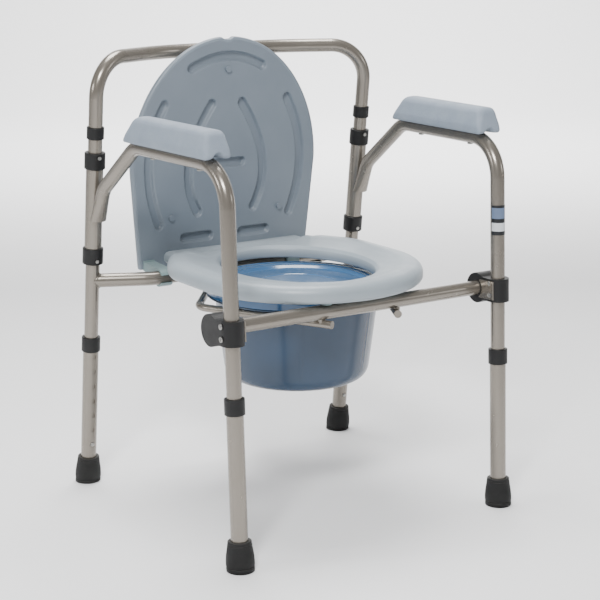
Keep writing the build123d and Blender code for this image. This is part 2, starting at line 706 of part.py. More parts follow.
def seat_outline():
    """Half outline of the seat: round front, narrowing flank and the lobe over the hinge."""
    shoulder = (SEAT_SHOULDER_HALF, HINGE_Y - SEAT_SHOULDER_AHEAD)
    lobe_y = HINGE_Y + SEAT_LOBE_BEHIND_HINGE
    front = EllipticalCenterArc((0, SEAT_MIDDLE_Y), SEAT_HALF_WIDTH, SEAT_FRONT_LENGTH, 270, arc_size=90)
    flank = Line(front @ 1, (SEAT_HALF_WIDTH, SEAT_FLANK_Y))
    Spline(flank @ 1, shoulder, tangents=[(0, 1), (-0.6, 1)])
    Polyline(
        shoulder,
        (SEAT_LOBE_HALF, shoulder[1]),
        (SEAT_LOBE_HALF - SEAT_LOBE_TAPER, lobe_y),
        (0, lobe_y),
    )


def seat_ring():
    """Moulded seat with its opening, dished towards the opening, thinner over the hinge."""
    with BuildPart() as seat:
        with BuildSketch(Plane.XY.offset(SEAT_BOTTOM)):
            with BuildLine():
                seat_outline()
                mirror(about=Plane.YZ)
            make_face()
        extrude(amount=SEAT_THICKNESS)
        shoulder_y = HINGE_Y - SEAT_SHOULDER_AHEAD
        rim = seat.edges().group_by(Axis.Z)[-1]
        fillet(rim.filter_by(lambda edge: edge.center().Y < shoulder_y - 1), SEAT_ROUNDING)
        with BuildSketch(Plane.XY.offset(SEAT_BOTTOM)):
            with Locations((0, OPENING_Y)):
                Ellipse(OPENING_HALF_WIDTH, OPENING_HALF_LENGTH)
        extrude(amount=SEAT_THICKNESS, mode=Mode.SUBTRACT)
        with BuildSketch(Plane.XY.offset(SEAT_TOP)):
            with Locations((0, OPENING_Y)):
                Ellipse(OPENING_HALF_WIDTH + DISH_WIDTH, OPENING_HALF_LENGTH + DISH_WIDTH)
        with BuildSketch(Plane.XY.offset(SEAT_TOP - DISH_DEPTH)):
            with Locations((0, OPENING_Y)):
                Ellipse(OPENING_HALF_WIDTH, OPENING_HALF_LENGTH)
        loft(mode=Mode.SUBTRACT)
        with BuildSketch(Plane.XY.offset(SEAT_TOP - SEAT_LOBE_STEP)):
            with Locations((0, shoulder_y)):
                Rectangle(2 * SEAT_HALF_WIDTH, SEAT_HALF_WIDTH, align=(Align.CENTER, Align.MIN))
        extrude(amount=2 * SEAT_LOBE_STEP, mode=Mode.SUBTRACT)
        back = seat.faces().filter_by(GeomType.PLANE).sort_by(Axis.Y)[-1]
        fillet(back.edges().sort_by(Axis.Z)[-1], SEAT_LOBE_ROUNDING)
    return seat.part


def seat_clip(x):
    """Snap clip under the seat that turns on the cross tube."""
    face = Plane(origin=(x - SEAT_CLIP_WIDTH / 2, HINGE_Y, BAR_HEIGHT), x_dir=(0, 1, 0), z_dir=(1, 0, 0))
    with BuildPart() as clip:
        with BuildSketch(face):
            Circle(CLIP_OUTER)
            Rectangle(2 * CLIP_OUTER, SEAT_BOTTOM - BAR_HEIGHT, align=(Align.CENTER, Align.MIN))
            Rectangle(CLIP_MOUTH, 2 * CLIP_OUTER, align=(Align.CENTER, Align.MAX), mode=Mode.SUBTRACT)
            Circle(CLIP_INNER, mode=Mode.SUBTRACT)
        extrude(amount=SEAT_CLIP_WIDTH)
    return clip.part


def seat_bumper(x):
    """Buffer under the seat that lands on the front bar."""
    top = Vector(x, BAR_Y, SEAT_BOTTOM)
    return bar_between(top, Vector(x, BAR_Y, BAR_HEIGHT + TUBE_RADIUS + REST_GAP), BUMPER_RADIUS)


def lid_plane():
    """Plane of the lid's seat-side face: X across, Y from the hinge to the rounded end."""
    opened = radians(LID_OPEN_ANGLE)
    up = Vector(0, -cos(opened), sin(opened))
    behind = Vector(0, sin(opened), cos(opened))
    return Plane(origin=Vector(0, HINGE_Y, BAR_HEIGHT) + behind * LID_OFFSET, x_dir=(-1, 0, 0), z_dir=behind)


def lid_outline():
    """Half outline of the lid from the hinge end, widening to its rounded end."""
    Line((0, LID_START), (LID_REAR_HALF_WIDTH, LID_START))
    Line((LID_REAR_HALF_WIDTH, LID_START), (LID_HALF_WIDTH, LID_STRAIGHT))
    EllipticalCenterArc((0, LID_STRAIGHT), LID_HALF_WIDTH, LID_ROUND_LENGTH, 0, arc_size=90)


def lid_spot(across, along):
    """Spot on the lid's face, as a share of its half width and of its length."""
    return across * LID_HALF_WIDTH, along * (LID_STRAIGHT + LID_ROUND_LENGTH)


def groove_arcs():
    """Centre lines of the lid's arched grooves: one across the top, two pairs down the sides."""
    arcs = [ThreePointArc(lid_spot(-0.375, 0.869), lid_spot(0, 0.916), lid_spot(0.375, 0.869))]
    for flip in (-1, 1):
        outer = [(0.662, 0.718), (0.821, 0.468), (0.712, 0.195)]
        inner = [(0.162, 0.709), (0.397, 0.457), (0.304, 0.235)]
        for places in (outer, inner):
            arcs.append(ThreePointArc(*[lid_spot(flip * across, along) for across, along in places]))
    return arcs


def lid_panel():
    """Lid moulding with its pressed grooves and the finger notch in the rounded end."""
    plane = lid_plane()
    top = LID_STRAIGHT + LID_ROUND_LENGTH
    arcs = groove_arcs()
    with BuildPart() as lid:
        with BuildSketch(plane):
            with BuildLine():
                lid_outline()
                mirror(about=Plane.YZ)
            make_face()
            with Locations((0, top)):
                SlotCenterToCenter(NOTCH_WIDTH - NOTCH_DEPTH, 2 * NOTCH_DEPTH, mode=Mode.SUBTRACT)
        extrude(amount=LID_THICKNESS)
        with BuildSketch(plane):
            for arc in arcs:
                SlotArc(arc, GROOVE_WIDTH)
            with Locations(lid_spot(-0.312, 0.124), lid_spot(0.312, 0.124)):
                SlotOverall(LOWER_SLOT_LENGTH, GROOVE_WIDTH)
            with Locations(lid_spot(0, 0.444)):
                SlotOverall(MIDDLE_SLOT_LENGTH, GROOVE_WIDTH)
        extrude(amount=GROOVE_DEPTH, mode=Mode.SUBTRACT)
    return lid.part


def lid_clip(x):
    """Hinge bracket: a snap ring on the cross tube and a foot on the lid's face."""
    plane = lid_plane()
    face = Plane(origin=(x - LID_CLIP_WIDTH / 2, HINGE_Y, BAR_HEIGHT), x_dir=plane.z_dir, z_dir=(1, 0, 0))
    sense = 1 if face.y_dir.dot(plane.y_dir) > 0 else -1
    align = Align.MIN if sense > 0 else Align.MAX
    with BuildPart() as clip:
        with BuildSketch(face):
            Circle(CLIP_OUTER)
            Rectangle(LID_OFFSET, CLIP_OUTER, align=(Align.MIN, align))
            with Locations((LID_OFFSET - CLIP_WALL, 0)):
                Rectangle(CLIP_WALL, LID_CLIP_FOOT + CLIP_WALL, align=(Align.MIN, align))
            Rectangle(2 * CLIP_OUTER, CLIP_MOUTH, align=(Align.MAX, Align.CENTER), mode=Mode.SUBTRACT)
            Circle(CLIP_INNER, mode=Mode.SUBTRACT)
        extrude(amount=LID_CLIP_WIDTH)
    return clip.part


def bucket():
    """Round tapering bucket with a flange that lies on the two rods."""
    flange = ROD_HEIGHT + ROD_RADIUS + REST_GAP
    rim_top = flange + BUCKET_RIM_RISE
    foot = (BUCKET_FOOT_RADIUS, BUCKET_BOTTOM)
    profile = Plane(origin=(0, BUCKET_Y, 0), x_dir=(1, 0, 0), z_dir=(0, -1, 0))
    with BuildPart() as pail:
        with BuildSketch(profile) as wall:
            with BuildLine():
                Polyline(
                    (0, BUCKET_BOTTOM), foot, (BUCKET_MOUTH_RADIUS, flange), (BUCKET_MOUTH_RADIUS, rim_top),
                    (0, rim_top), (0, BUCKET_BOTTOM),
                )
            make_face()
            fillet(wall.vertices().sort_by_distance((*foot,))[0], BUCKET_EDGE_RADIUS)
        revolve(axis=Axis((0, BUCKET_Y, 0), RISE))
        offset(amount=-BUCKET_WALL, openings=pail.faces().sort_by(Axis.Z)[-1])
        with BuildSketch(Plane(origin=(0, BUCKET_Y, flange))):
            Circle(BUCKET_RIM_RADIUS)
            Circle(BUCKET_MOUTH_RADIUS - BUCKET_WALL / 2, mode=Mode.SUBTRACT)
        extrude(amount=BUCKET_RIM_THICKNESS)
    return pail.part


def bucket_lid():
    """Dished cover that sits over the bucket's rim."""
    flange = ROD_HEIGHT + ROD_RADIUS + REST_GAP
    bottom = flange + BUCKET_RIM_THICKNESS + BUCKET_LID_GAP
    rim_top = flange + BUCKET_RIM_RISE + BUCKET_LID_GAP
    top = rim_top + BUCKET_LID_HEIGHT
    inner = BUCKET_MOUTH_RADIUS + BUCKET_LID_GAP
    profile = Plane(origin=(0, BUCKET_Y, 0), x_dir=(1, 0, 0), z_dir=(0, -1, 0))
    with BuildPart() as cover:
        with BuildSketch(profile):
            with BuildLine():
                Polyline(
                    (0, rim_top),
                    (inner, rim_top),
                    (inner, bottom),
                    (BUCKET_RIM_RADIUS, bottom),
                    (BUCKET_RIM_RADIUS, top - BUCKET_LID_HEIGHT / 2),
                    (BUCKET_RIM_RADIUS - BUCKET_LID_HEIGHT / 2, top),
                    (BUCKET_DISH_RADIUS, top),
                    (BUCKET_DISH_RADIUS - BUCKET_DISH_DEPTH, top - BUCKET_DISH_DEPTH),
                    (0, top - BUCKET_DISH_DEPTH),
                    (0, rim_top),
                )
            make_face()
        revolve(axis=Axis((0, BUCKET_Y, 0), RISE))
    return cover.part


def lid_fixings():
    """Screws that hold the hinge brackets to the lid, one through each foot."""
    plane = lid_plane()
    screws = []
    for x in (-LID_CLIP_X, LID_CLIP_X):
        along = LID_CLIP_FOOT - LID_SCREW_RADIUS - 1
        outer = local(plane, -x, along, -CLIP_WALL - LID_SCREW_HEAD)
        inner = local(plane, -x, along, LID_THICKNESS / 2)
        screws.append(bar_between(outer, inner, LID_SCREW_RADIUS))
    return screws


def lid_bumpers():
    """Three small buffers on the face of the lid that lands on the seat."""
    plane = lid_plane()
    places = (lid_spot(0, 0.859), lid_spot(-0.59, 0.222), lid_spot(0.59, 0.222))
    return [
        bar_between(local(plane, x, y, 0), local(plane, x, y, -LID_BUMPER_HEIGHT), LID_BUMPER_RADIUS)
        for x, y in places
    ]


os.makedirs("parts", exist_ok=True)

for name, side in SIDES.items():
    rear = rear_plane(side)
    front = front_plane(side)
    collars, screws = swivel_fittings(side)
    save(rear_upright(side), f"{name}_rear_upright")
    save(bucket_rod(side), f"{name}_bucket_rod")
    save(collars, f"{name}_swivel_collars")
    save(screws, f"{name}_swivel_screws")
    save(backrest_collar(side), f"{name}_backrest_collar")
    save(side_tube(side), f"{name}_side_tube")
    save(swivel_sleeve(side), f"{name}_swivel_sleeve")
    save(arm_pad(side), f"{name}_arm_pad")
    save(join(*pad_screws(side)), f"{name}_arm_pad_screws")
    save(bar_clamp(side), f"{name}_bar_clamp")
    save(clamp_plate(side, True), f"{name}_clamp_plate")
    save(join(*clamp_bolts(side)), f"{name}_clamp_bolts")
    for place, plane, facing in (("rear", rear, -1), ("front", front, 1)):
        save(leg_extension(plane, facing), f"{name}_{place}_leg_extension")
        save(leg_collar(plane), f"{name}_{place}_leg_collar")
        save(rubber_foot(plane), f"{name}_{place}_foot")
        save(spring_button(plane, facing), f"{name}_{place}_button")
        save(button_spring(plane, facing), f"{name}_{place}_button_spring")

save(leg_label(1), "right_leg_label")
save(rear_cross_tube(), "rear_cross_tube")
save(front_bar(), "front_bar")
save(backrest_tube(), "backrest_tube")
save(seat_ring(), "seat_ring")
save(join(seat_clip(-SEAT_CLIP_X), seat_clip(SEAT_CLIP_X)), "seat_hinge_clips")
save(join(seat_bumper(-BUMPER_X), seat_bumper(BUMPER_X)), "seat_bumpers")
save(cut(lid_panel(), *lid_fixings()), "lid_panel")
save(cut(join(lid_clip(-LID_CLIP_X), lid_clip(LID_CLIP_X)), *lid_fixings()), "lid_hinge_clips")
save(join(*lid_fixings()), "lid_hinge_screws")
save(join(*lid_bumpers()), "lid_bumpers")
save(bucket(), "bucket")
save(bucket_lid(), "bucket_lid")
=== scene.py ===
"""Folding commode chair: finishes, moulded parts, pads and fittings over the fixed frame."""

from __future__ import annotations

import json
import logging
import math
from dataclasses import dataclass
from enum import Enum
from typing import Mapping, Sequence

import bpy
import numpy as np
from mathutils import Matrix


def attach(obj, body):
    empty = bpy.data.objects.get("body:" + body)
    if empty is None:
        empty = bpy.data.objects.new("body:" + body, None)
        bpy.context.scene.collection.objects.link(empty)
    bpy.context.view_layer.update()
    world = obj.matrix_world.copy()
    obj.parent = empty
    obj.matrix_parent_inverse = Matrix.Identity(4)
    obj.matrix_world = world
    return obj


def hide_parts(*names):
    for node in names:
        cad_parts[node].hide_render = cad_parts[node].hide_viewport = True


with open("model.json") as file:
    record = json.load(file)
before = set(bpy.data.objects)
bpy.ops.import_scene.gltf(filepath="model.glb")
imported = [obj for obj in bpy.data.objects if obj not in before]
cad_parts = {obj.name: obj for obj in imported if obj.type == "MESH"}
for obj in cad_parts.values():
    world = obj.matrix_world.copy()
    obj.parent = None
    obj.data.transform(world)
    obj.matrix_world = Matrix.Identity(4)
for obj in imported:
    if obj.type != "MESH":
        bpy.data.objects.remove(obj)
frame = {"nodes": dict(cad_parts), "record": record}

LOG = logging.getLogger("commode_chair")
MM = 0.001
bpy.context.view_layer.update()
RIGHT, BACK, UP = np.eye(3)


class Side(Enum):
    """A side of the chair, with the sign of its x."""

    LEFT = -1
    RIGHT = 1

    @property
    def label(self) -> str:
        """The side's word in the names of pieces."""
        return self.name.lower()


# ---------------------------------------------------------------- placing and meshing


@dataclass(frozen=True)
class Placement:
    """A local frame in millimetres: an origin and three unit directions."""

    origin: np.ndarray
    across: np.ndarray
    back: np.ndarray
    up: np.ndarray

    def place(self, x: np.ndarray, y: np.ndarray, z: np.ndarray) -> np.ndarray:
        """Points of the local frame as points of the chair's frame.

        Args:
            x: distances along the across direction.
            y: distances along the back direction.
            z: distances along the up direction.

        Returns:
            An array of points with a last axis of 3, in millimetres.
        """
        parts = np.broadcast_arrays(x, y, z)
        return (
            self.origin
            + parts[0][..., None] * self.across
            + parts[1][..., None] * self.back
            + parts[2][..., None] * self.up
        )


@dataclass(frozen=True)
class Stance:
    """The leg lines of the chair, in millimetres and degrees."""

    rear_half_width: float = 251.8
    front_half_width: float = 240.1
    foot_half_depth: float = 230.85
    rear_lean: float = 6.32
    front_lean: float = 2.72
    join_height: float = 455.0

    def rear_y(self, height: float) -> float:
        """How far back the rear leg lines stand at a height."""
        return self.foot_half_depth - height * math.tan(math.radians(self.rear_lean))

    @property
    def toe_in(self) -> float:
        """Angle in radians by which a side frame closes towards its front."""
        run = self.rear_y(self.join_height) + self.foot_half_depth
        return math.atan2(self.rear_half_width - self.front_half_width, run)

    def rear_leg(self, side: Side) -> Placement:
        """Frame of a rear leg, with its up direction along the leg.

        Args:
            side: the leg's side.

        Returns:
            The placement whose origin is the leg line's point on the floor.
        """
        lean = math.radians(self.rear_lean)
        return Placement(
            np.array([side.value * self.rear_half_width, self.foot_half_depth, 0.0]),
            RIGHT,
            np.array([0.0, math.cos(lean), math.sin(lean)]),
            np.array([0.0, -math.sin(lean), math.cos(lean)]),
        )

    def front_leg(self, side: Side) -> Placement:
        """Frame of a front leg, with its up direction along the leg.

        Args:
            side: the leg's side.

        Returns:
            The placement whose origin is the leg line's point on the floor.
        """
        plane, lean = self.side_plane(side), math.radians(self.front_lean)
        up = plane.back * math.sin(lean) + plane.up * math.cos(lean)
        return Placement(plane.origin, plane.across, np.cross(up, plane.across), up)

    def side_plane(self, side: Side) -> Placement:
        """Frame of a side frame's upright plane, measured back from the front foot.

        Args:
            side: the frame's side.

        Returns:
            The placement with its back direction along the plane and its up direction vertical.
        """
        along, sideways = math.cos(self.toe_in), side.value * math.sin(self.toe_in)
        return Placement(
            np.array([side.value * self.front_half_width, -self.foot_half_depth, 0.0]),
            np.array([along, -sideways, 0.0]),
            np.array([sideways, along, 0.0]),
            UP,
        )


def smoothstep(value: np.ndarray, low: float, high: float) -> np.ndarray:
    """Eased step: 0 below low, 1 above high, and 3t^2 - 2t^3 between them.

    Args:
        value: where to read the step.
        low: where it starts.
        high: where it ends.

    Returns:
        The step at each value.
    """
    t = np.clip((value - low) / (high - low), 0.0, 1.0)
    return t * t * (3.0 - 2.0 * t)


def shell(
    points: np.ndarray, around: bool = True, along: bool = False, poles: bool = False
) -> tuple[np.ndarray, list[list[int]]]:
    """Vertices and faces of a grid of points.

    Args:
        points: rows by columns by 3.
        around: whether the last column joins the first.
        along: whether the last row joins the first.
        poles: whether the first and last rows each close to one point.

    Returns:
        The vertices, and the faces as vertex numbers.
    """
    rows, columns = points.shape[:2]
    index = np.arange(rows * columns).reshape(rows, columns)
    right = np.roll(index, -1, axis=1) if around else index[:, 1:]
    left = index if around else index[:, :-1]
    above = np.roll(index, -1, axis=0)
    right_above = np.roll(right, -1, axis=0)
    left_above = above if around else above[:, :-1]
    last = rows if along else rows - 1
    quads = np.stack([left, right, right_above, left_above], axis=-1)[:last].reshape(-1, 4)
    vertices = points.reshape(-1, 3)
    faces = quads.tolist()
    if poles:
        for row, ring in ((0, index[0][::-1]), (-1, index[-1])):
            fan = np.stack([ring, np.roll(ring, -1), np.full(columns, len(vertices))], axis=-1)
            faces += fan.tolist()
            vertices = np.vstack([vertices, points[row].mean(axis=0)])
    return vertices, faces


def mesh_object(name: str, vertices: np.ndarray, faces: Sequence[Sequence[int]]) -> bpy.types.Object:
    """Linked, smooth shaded mesh object whose closed shell faces outwards.

    Args:
        name: the piece's name.
        vertices: points in millimetres.
        faces: the faces as vertex numbers.

    Returns:
        The object, at the origin.
    """
    mesh = bpy.data.meshes.new(name)
    mesh.from_pydata((vertices * MM).tolist(), [], faces)
    mesh.update()
    mesh.polygons.foreach_set("use_smooth", np.ones(len(mesh.polygons), dtype=bool))
    if signed_volume(mesh) < 0.0:
        mesh.flip_normals()
    piece = bpy.data.objects.new(name, mesh)
    bpy.context.scene.collection.objects.link(piece)
    return piece


def signed_volume(mesh: bpy.types.Mesh) -> float:
    """Volume enclosed by a closed mesh: the sum of the tetrahedra from the origin to each triangle.

    Args:
        mesh: the mesh to measure.

    Returns:
        The volume, negative when the faces point inwards.
    """
    mesh.calc_loop_triangles()
    corners = np.empty(len(mesh.loop_triangles) * 3, dtype=np.int32)
    mesh.loop_triangles.foreach_get("vertices", corners)
    points = np.empty(len(mesh.vertices) * 3, dtype=np.float32)
    mesh.vertices.foreach_get("co", points)
    a, b, c = points.reshape(-1, 3).astype(float)[corners.reshape(-1, 3)].transpose(1, 0, 2)
    return float(np.einsum("ij,ij->", a, np.cross(b, c)) / 6.0)


def run_lengths(points: np.ndarray) -> np.ndarray:
    """Distance along a line of points from its first point to each."""
    return np.concatenate([[0.0], np.cumsum(np.linalg.norm(np.diff(points, axis=0), axis=1))])


def resample(points: np.ndarray, count: int) -> np.ndarray:
    """Closed loop of evenly spaced points along a closed polygon.

    Args:
        points: the polygon's corners, without repeating the first.
        count: how many points to return.

    Returns:
        The evenly spaced loop.
    """
    closed = np.vstack([points, points[:1]])
    lengths = run_lengths(closed)
    at = np.linspace(0.0, lengths[-1], count, endpoint=False)
    return np.stack([np.interp(at, lengths, closed[:, k]) for k in range(points.shape[1])], axis=-1)


def soften(loop: np.ndarray, reach: float) -> np.ndarray:
    """Closed loop with its corners rounded by a running Gaussian average.

    Args:
        loop: evenly spaced points.
        reach: the average's spread in millimetres; a corner's radius is about twice this.

    Returns:
        The rounded loop.
    """
    spacing = np.linalg.norm(loop[1] - loop[0])
    frequency = np.fft.fftfreq(len(loop))
    gain = np.exp(-0.5 * (2.0 * math.pi * frequency * reach / spacing) ** 2)
    return np.real(np.fft.ifft(np.fft.fft(loop, axis=0) * gain[:, None], axis=0))


def mirrored(half: np.ndarray) -> np.ndarray:
    """Closed polygon from its half with x above 0, given from one end of the axis to the other."""
    other = half[::-1] * np.array([-1.0, 1.0])
    return np.vstack([half, other[np.abs(other[:, 0]) > 1e-6]])


def full_turn(columns: int) -> np.ndarray:
    """Evenly spaced angles of a full turn in radians, without repeating the first."""
    return np.linspace(0.0, 2.0 * math.pi, columns, endpoint=False)


def turned(
    profile: np.ndarray, place: Placement, columns: int, ripple: np.ndarray | float = 0.0
) -> np.ndarray:
    """Grid of a solid of revolution: (radius, height) turned about the placement's up direction.

    Args:
        profile: rows of radius and height, from axis to axis.
        place: where the axis stands.
        columns: how many steps make the full turn.
        ripple: rows by columns added to the radius.

    Returns:
        Rows by columns of points.
    """
    angle = full_turn(columns)
    radius = profile[:, :1] + ripple
    return place.place(radius * np.cos(angle), radius * np.sin(angle), profile[:, 1:])


def fillet_profile(corners: Sequence[tuple[float, float, float]], steps: int = 6) -> np.ndarray:
    """Profile through corners, each rounded by an arc tangent to its two runs.

    Args:
        corners: radius, height and rounding of each corner.
        steps: points along each arc.

    Returns:
        The profile's points.
    """
    points = np.array([corner[:2] for corner in corners])
    out = [points[:1]]
    for before, here, after, corner in zip(points[:-2], points[1:-1], points[2:], corners[1:-1]):
        inward = (before - here) / np.linalg.norm(before - here)
        onward = (after - here) / np.linalg.norm(after - here)
        half = math.acos(float(np.clip(np.dot(inward, onward), -0.9999, 0.9999))) / 2.0
        room = 0.49 * min(np.linalg.norm(before - here), np.linalg.norm(after - here))
        cut = min(corner[2] / math.tan(half), room)
        t = np.linspace(0.0, 1.0, steps if corner[2] > 0 else 1)[:, None]
        start, end = here + inward * cut, here + onward * cut
        out.append((1 - t) ** 2 * start + 2 * t * (1 - t) * here + t**2 * end)
    out.append(points[-1:])
    return np.vstack(out)


def swept(path: np.ndarray, radius: np.ndarray, columns: int = 10) -> np.ndarray:
    """Grid of a round bead along a path: circles square to the path, carried without twist.

    Args:
        path: the path's points in millimetres.
        radius: the bead's radius at each point.
        columns: how many points make each circle.

    Returns:
        Rows by columns of points.
    """
    tangent = np.gradient(path, axis=0)
    tangent /= np.linalg.norm(tangent, axis=1, keepdims=True)
    normal = np.linalg.svd(path - path.mean(axis=0))[2][-1]
    side = np.cross(tangent, normal)
    side /= np.linalg.norm(side, axis=1, keepdims=True)
    other = np.cross(tangent, side)
    angle = full_turn(columns)[None, :, None]
    ring = side[:, None] * np.cos(angle) + other[:, None] * np.sin(angle)
    return path[:, None] + ring * radius[:, None, None]


# ---------------------------------------------------------------- finishes


def linear(code: str) -> tuple[float, float, float, float]:
    """Linear colour of an sRGB hex value.

    Args:
        code: six hex digits.

    Returns:
        Red, green, blue and an alpha of 1.
    """
    values = (int(code[i : i + 2], 16) / 255.0 for i in (0, 2, 4))
    parts = [v / 12.92 if v <= 0.04045 else ((v + 0.055) / 1.055) ** 2.4 for v in values]
    return (parts[0], parts[1], parts[2], 1.0)


def add_node(
    tree: bpy.types.NodeTree,
    kind: str,
    settings: Mapping[str | int, object],
    links: Mapping[str | int, bpy.types.NodeSocket],
) -> bpy.types.Node:
    """Add one node with its settings and its incoming links.

    Args:
        tree: the material's node tree.
        kind: the node's type name.
        settings: socket values by socket name or number, and properties by their name.
        links: the source of each linked socket.

    Returns:
        The new node.
    """
    made = tree.nodes.new(kind)
    for key, value in settings.items():
        if isinstance(key, int) or key in made.inputs:
            made.inputs[key].default_value = value
        else:
            setattr(made, key, value)
    for key, source in links.items():
        tree.links.new(source, made.inputs[key])
    return made


# Flecks of dust, and patches that handling left duller or shinier, in millimetres.
DUST_MM = 2.5
HANDLING_MM = 18.0
# The width of a drawn line in metal, as a share of its length.
DRAWN_SHARE = 0.06


class Grain(Enum):
    """How a surface's fine relief was made."""

    ORANGE_PEEL = "powder that flowed and set in the oven"
    SPARK = "spark-eroded mould"
    LEATHER = "grained mould skin"
    DRAWN = "drawn and plated metal"
    POLISHED = "polished mould"


@dataclass(frozen=True)
class Finish:
    """One surface finish, with its sizes in millimetres."""

    name: str
    colour: str
    shade: str
    roughness: float
    spread: float
    grain: Grain
    grain_mm: float
    relief_mm: float
    mottle_mm: float = 60.0
    metallic: float = 0.0
    ior: float = 1.5
    coat: float = 0.0
    coat_roughness: float = 0.12
    dust: str = "A6A39C"
    dust_amount: float = 0.10

    def material(self) -> bpy.types.Material:
        """Node material: two close tones, dust on faces that look up, and a fine relief.

        Returns:
            The finished material.
        """
        made = bpy.data.materials.new(self.name)
        made.use_nodes = True
        tree = made.node_tree
        shader = tree.nodes["Principled BSDF"]
        shader.inputs["Metallic"].default_value = self.metallic
        if self.metallic < 0.5:
            shader.inputs["IOR"].default_value = self.ior
        shader.inputs["Coat Weight"].default_value = self.coat
        shader.inputs["Coat Roughness"].default_value = self.coat_roughness
        where = add_node(tree, "ShaderNodeTexCoord", {}, {}).outputs["Object"]
        tone = self._tone(tree, where)
        tree.links.new(tone, shader.inputs["Base Color"])
        rough = self._roughness(tree, where)
        tree.links.new(rough, shader.inputs["Roughness"])
        bump = add_node(
            tree,
            "ShaderNodeBump",
            {"Strength": 1.0, "Distance": self.relief_mm * MM},
            {"Height": self._relief(tree, where)},
        )
        tree.links.new(bump.outputs["Normal"], shader.inputs["Normal"])
        return made

    def _tone(self, tree: bpy.types.NodeTree, where: bpy.types.NodeSocket) -> bpy.types.NodeSocket:
        """Colour socket: broad mottling between the two tones, then a little dust on top.

        Args:
            tree: the material's node tree.
            where: the object coordinates.

        Returns:
            The colour output.
        """
        mottle = {"Scale": 1.0 / (self.mottle_mm * MM), "Detail": 4.0}
        broad = add_node(tree, "ShaderNodeTexNoise", mottle, {"Vector": where})
        blend = add_node(
            tree,
            "ShaderNodeMapRange",
            {"From Min": 0.3, "From Max": 0.7, "To Min": 0.0, "To Max": 1.0},
            {"Value": broad.outputs["Fac"]},
        )
        tone = add_node(
            tree,
            "ShaderNodeMix",
            {"data_type": "RGBA", 6: linear(self.colour), 7: linear(self.shade)},
            {"Factor": blend.outputs["Result"]},
        )
        normal = add_node(tree, "ShaderNodeNewGeometry", {}, {}).outputs["Normal"]
        upward = add_node(tree, "ShaderNodeSeparateXYZ", {}, {"Vector": normal}).outputs["Z"]
        specks = {"Scale": 1.0 / (DUST_MM * MM), "Detail": 6.0}
        fleck = add_node(tree, "ShaderNodeTexNoise", specks, {"Vector": where})
        lying = add_node(
            tree,
            "ShaderNodeMapRange",
            {"From Min": 0.55, "From Max": 1.0, "To Min": 0.0, "To Max": self.dust_amount},
            {"Value": upward},
        )
        parts = {0: lying.outputs[0], 1: fleck.outputs["Fac"]}
        amount = add_node(tree, "ShaderNodeMath", {"operation": "MULTIPLY"}, parts)
        dusty = add_node(
            tree,
            "ShaderNodeMix",
            {"data_type": "RGBA", 7: linear(self.dust)},
            {"Factor": amount.outputs[0], 6: tone.outputs[2]},
        )
        return dusty.outputs[2]

    def _roughness(self, tree: bpy.types.NodeTree, where: bpy.types.NodeSocket) -> bpy.types.NodeSocket:
        """Roughness socket: handling leaves patches a little duller or shinier.

        Args:
            tree: the material's node tree.
            where: the object coordinates.

        Returns:
            The roughness output.
        """
        patches = {"Scale": 1.0 / (HANDLING_MM * MM), "Detail": 5.0}
        patch = add_node(tree, "ShaderNodeTexNoise", patches, {"Vector": where})
        low, high = self.roughness - self.spread, self.roughness + self.spread
        return add_node(
            tree,
            "ShaderNodeMapRange",
            {"From Min": 0.3, "From Max": 0.7, "To Min": low, "To Max": high},
            {"Value": patch.outputs["Fac"]},
        ).outputs["Result"]

    def _relief(self, tree: bpy.types.NodeTree, where: bpy.types.NodeSocket) -> bpy.types.NodeSocket:
        """Height socket of the grain, at its real size.

        Args:
            tree: the material's node tree.
            where: the object coordinates.

        Returns:
            The height output.
        """
        scale = 1.0 / (self.grain_mm * MM)
        if self.grain is Grain.LEATHER:
            cells = {"Scale": scale, "feature": "DISTANCE_TO_EDGE", "Randomness": 1.0}
            edge = add_node(tree, "ShaderNodeTexVoronoi", cells, {"Vector": where}).outputs["Distance"]
            crease = {"From Min": 0.0, "From Max": 0.25}
            return add_node(tree, "ShaderNodeMapRange", crease, {"Value": edge}).outputs["Result"]
        stretch = (1.0, 1.0, DRAWN_SHARE) if self.grain is Grain.DRAWN else (1.0, 1.0, 1.0)
        turned_to = add_node(tree, "ShaderNodeMapping", {"Scale": stretch}, {"Vector": where})
        detail = 1.0 if self.grain in (Grain.ORANGE_PEEL, Grain.POLISHED) else 5.0
        noise = {"Scale": scale, "Detail": detail, "Roughness": 0.6}
        along = {"Vector": turned_to.outputs["Vector"]}
        return add_node(tree, "ShaderNodeTexNoise", noise, along).outputs["Fac"]


# Spark-eroded and leather grains are finer than 0.7 mm on the real surfaces. They and the dust are
# drawn coarser here, so that they show at the distance from which the chair is seen.

# Polyester powder coat on steel tube: a warm light grey with a soft, slightly rippled gloss.
POWDER_COAT = Finish(
    "powder_coat", "857F77", "827C73", 0.26, 0.015, Grain.ORANGE_PEEL, 1.8, 0.004,
    metallic=0.7, coat=0.15,
)
# Glass-filled nylon from a spark-eroded mould: black, satin, with a fine tooth.
BLACK_NYLON = Finish(
    "black_nylon", "0B0B0C", "101011", 0.48, 0.06, Grain.SPARK, 0.7, 0.05, ior=1.42, dust_amount=0.06
)
# Moulded rubber: black and matt, with dust in its skin.
FOOT_RUBBER = Finish(
    "foot_rubber", "0D0D0E", "141413", 0.66, 0.07, Grain.SPARK, 0.9, 0.09, ior=1.42, dust_amount=0.16
)
# Blow-moulded polyethylene: a cool grey, satin, with a waxy skin.
SEAT_POLYMER = Finish("seat_polyethylene", "929CA3", "8C969D", 0.40, 0.05, Grain.SPARK, 0.8, 0.03)
LID_POLYMER = Finish("lid_polyethylene", "747E88", "6F7983", 0.42, 0.05, Grain.SPARK, 0.8, 0.03)
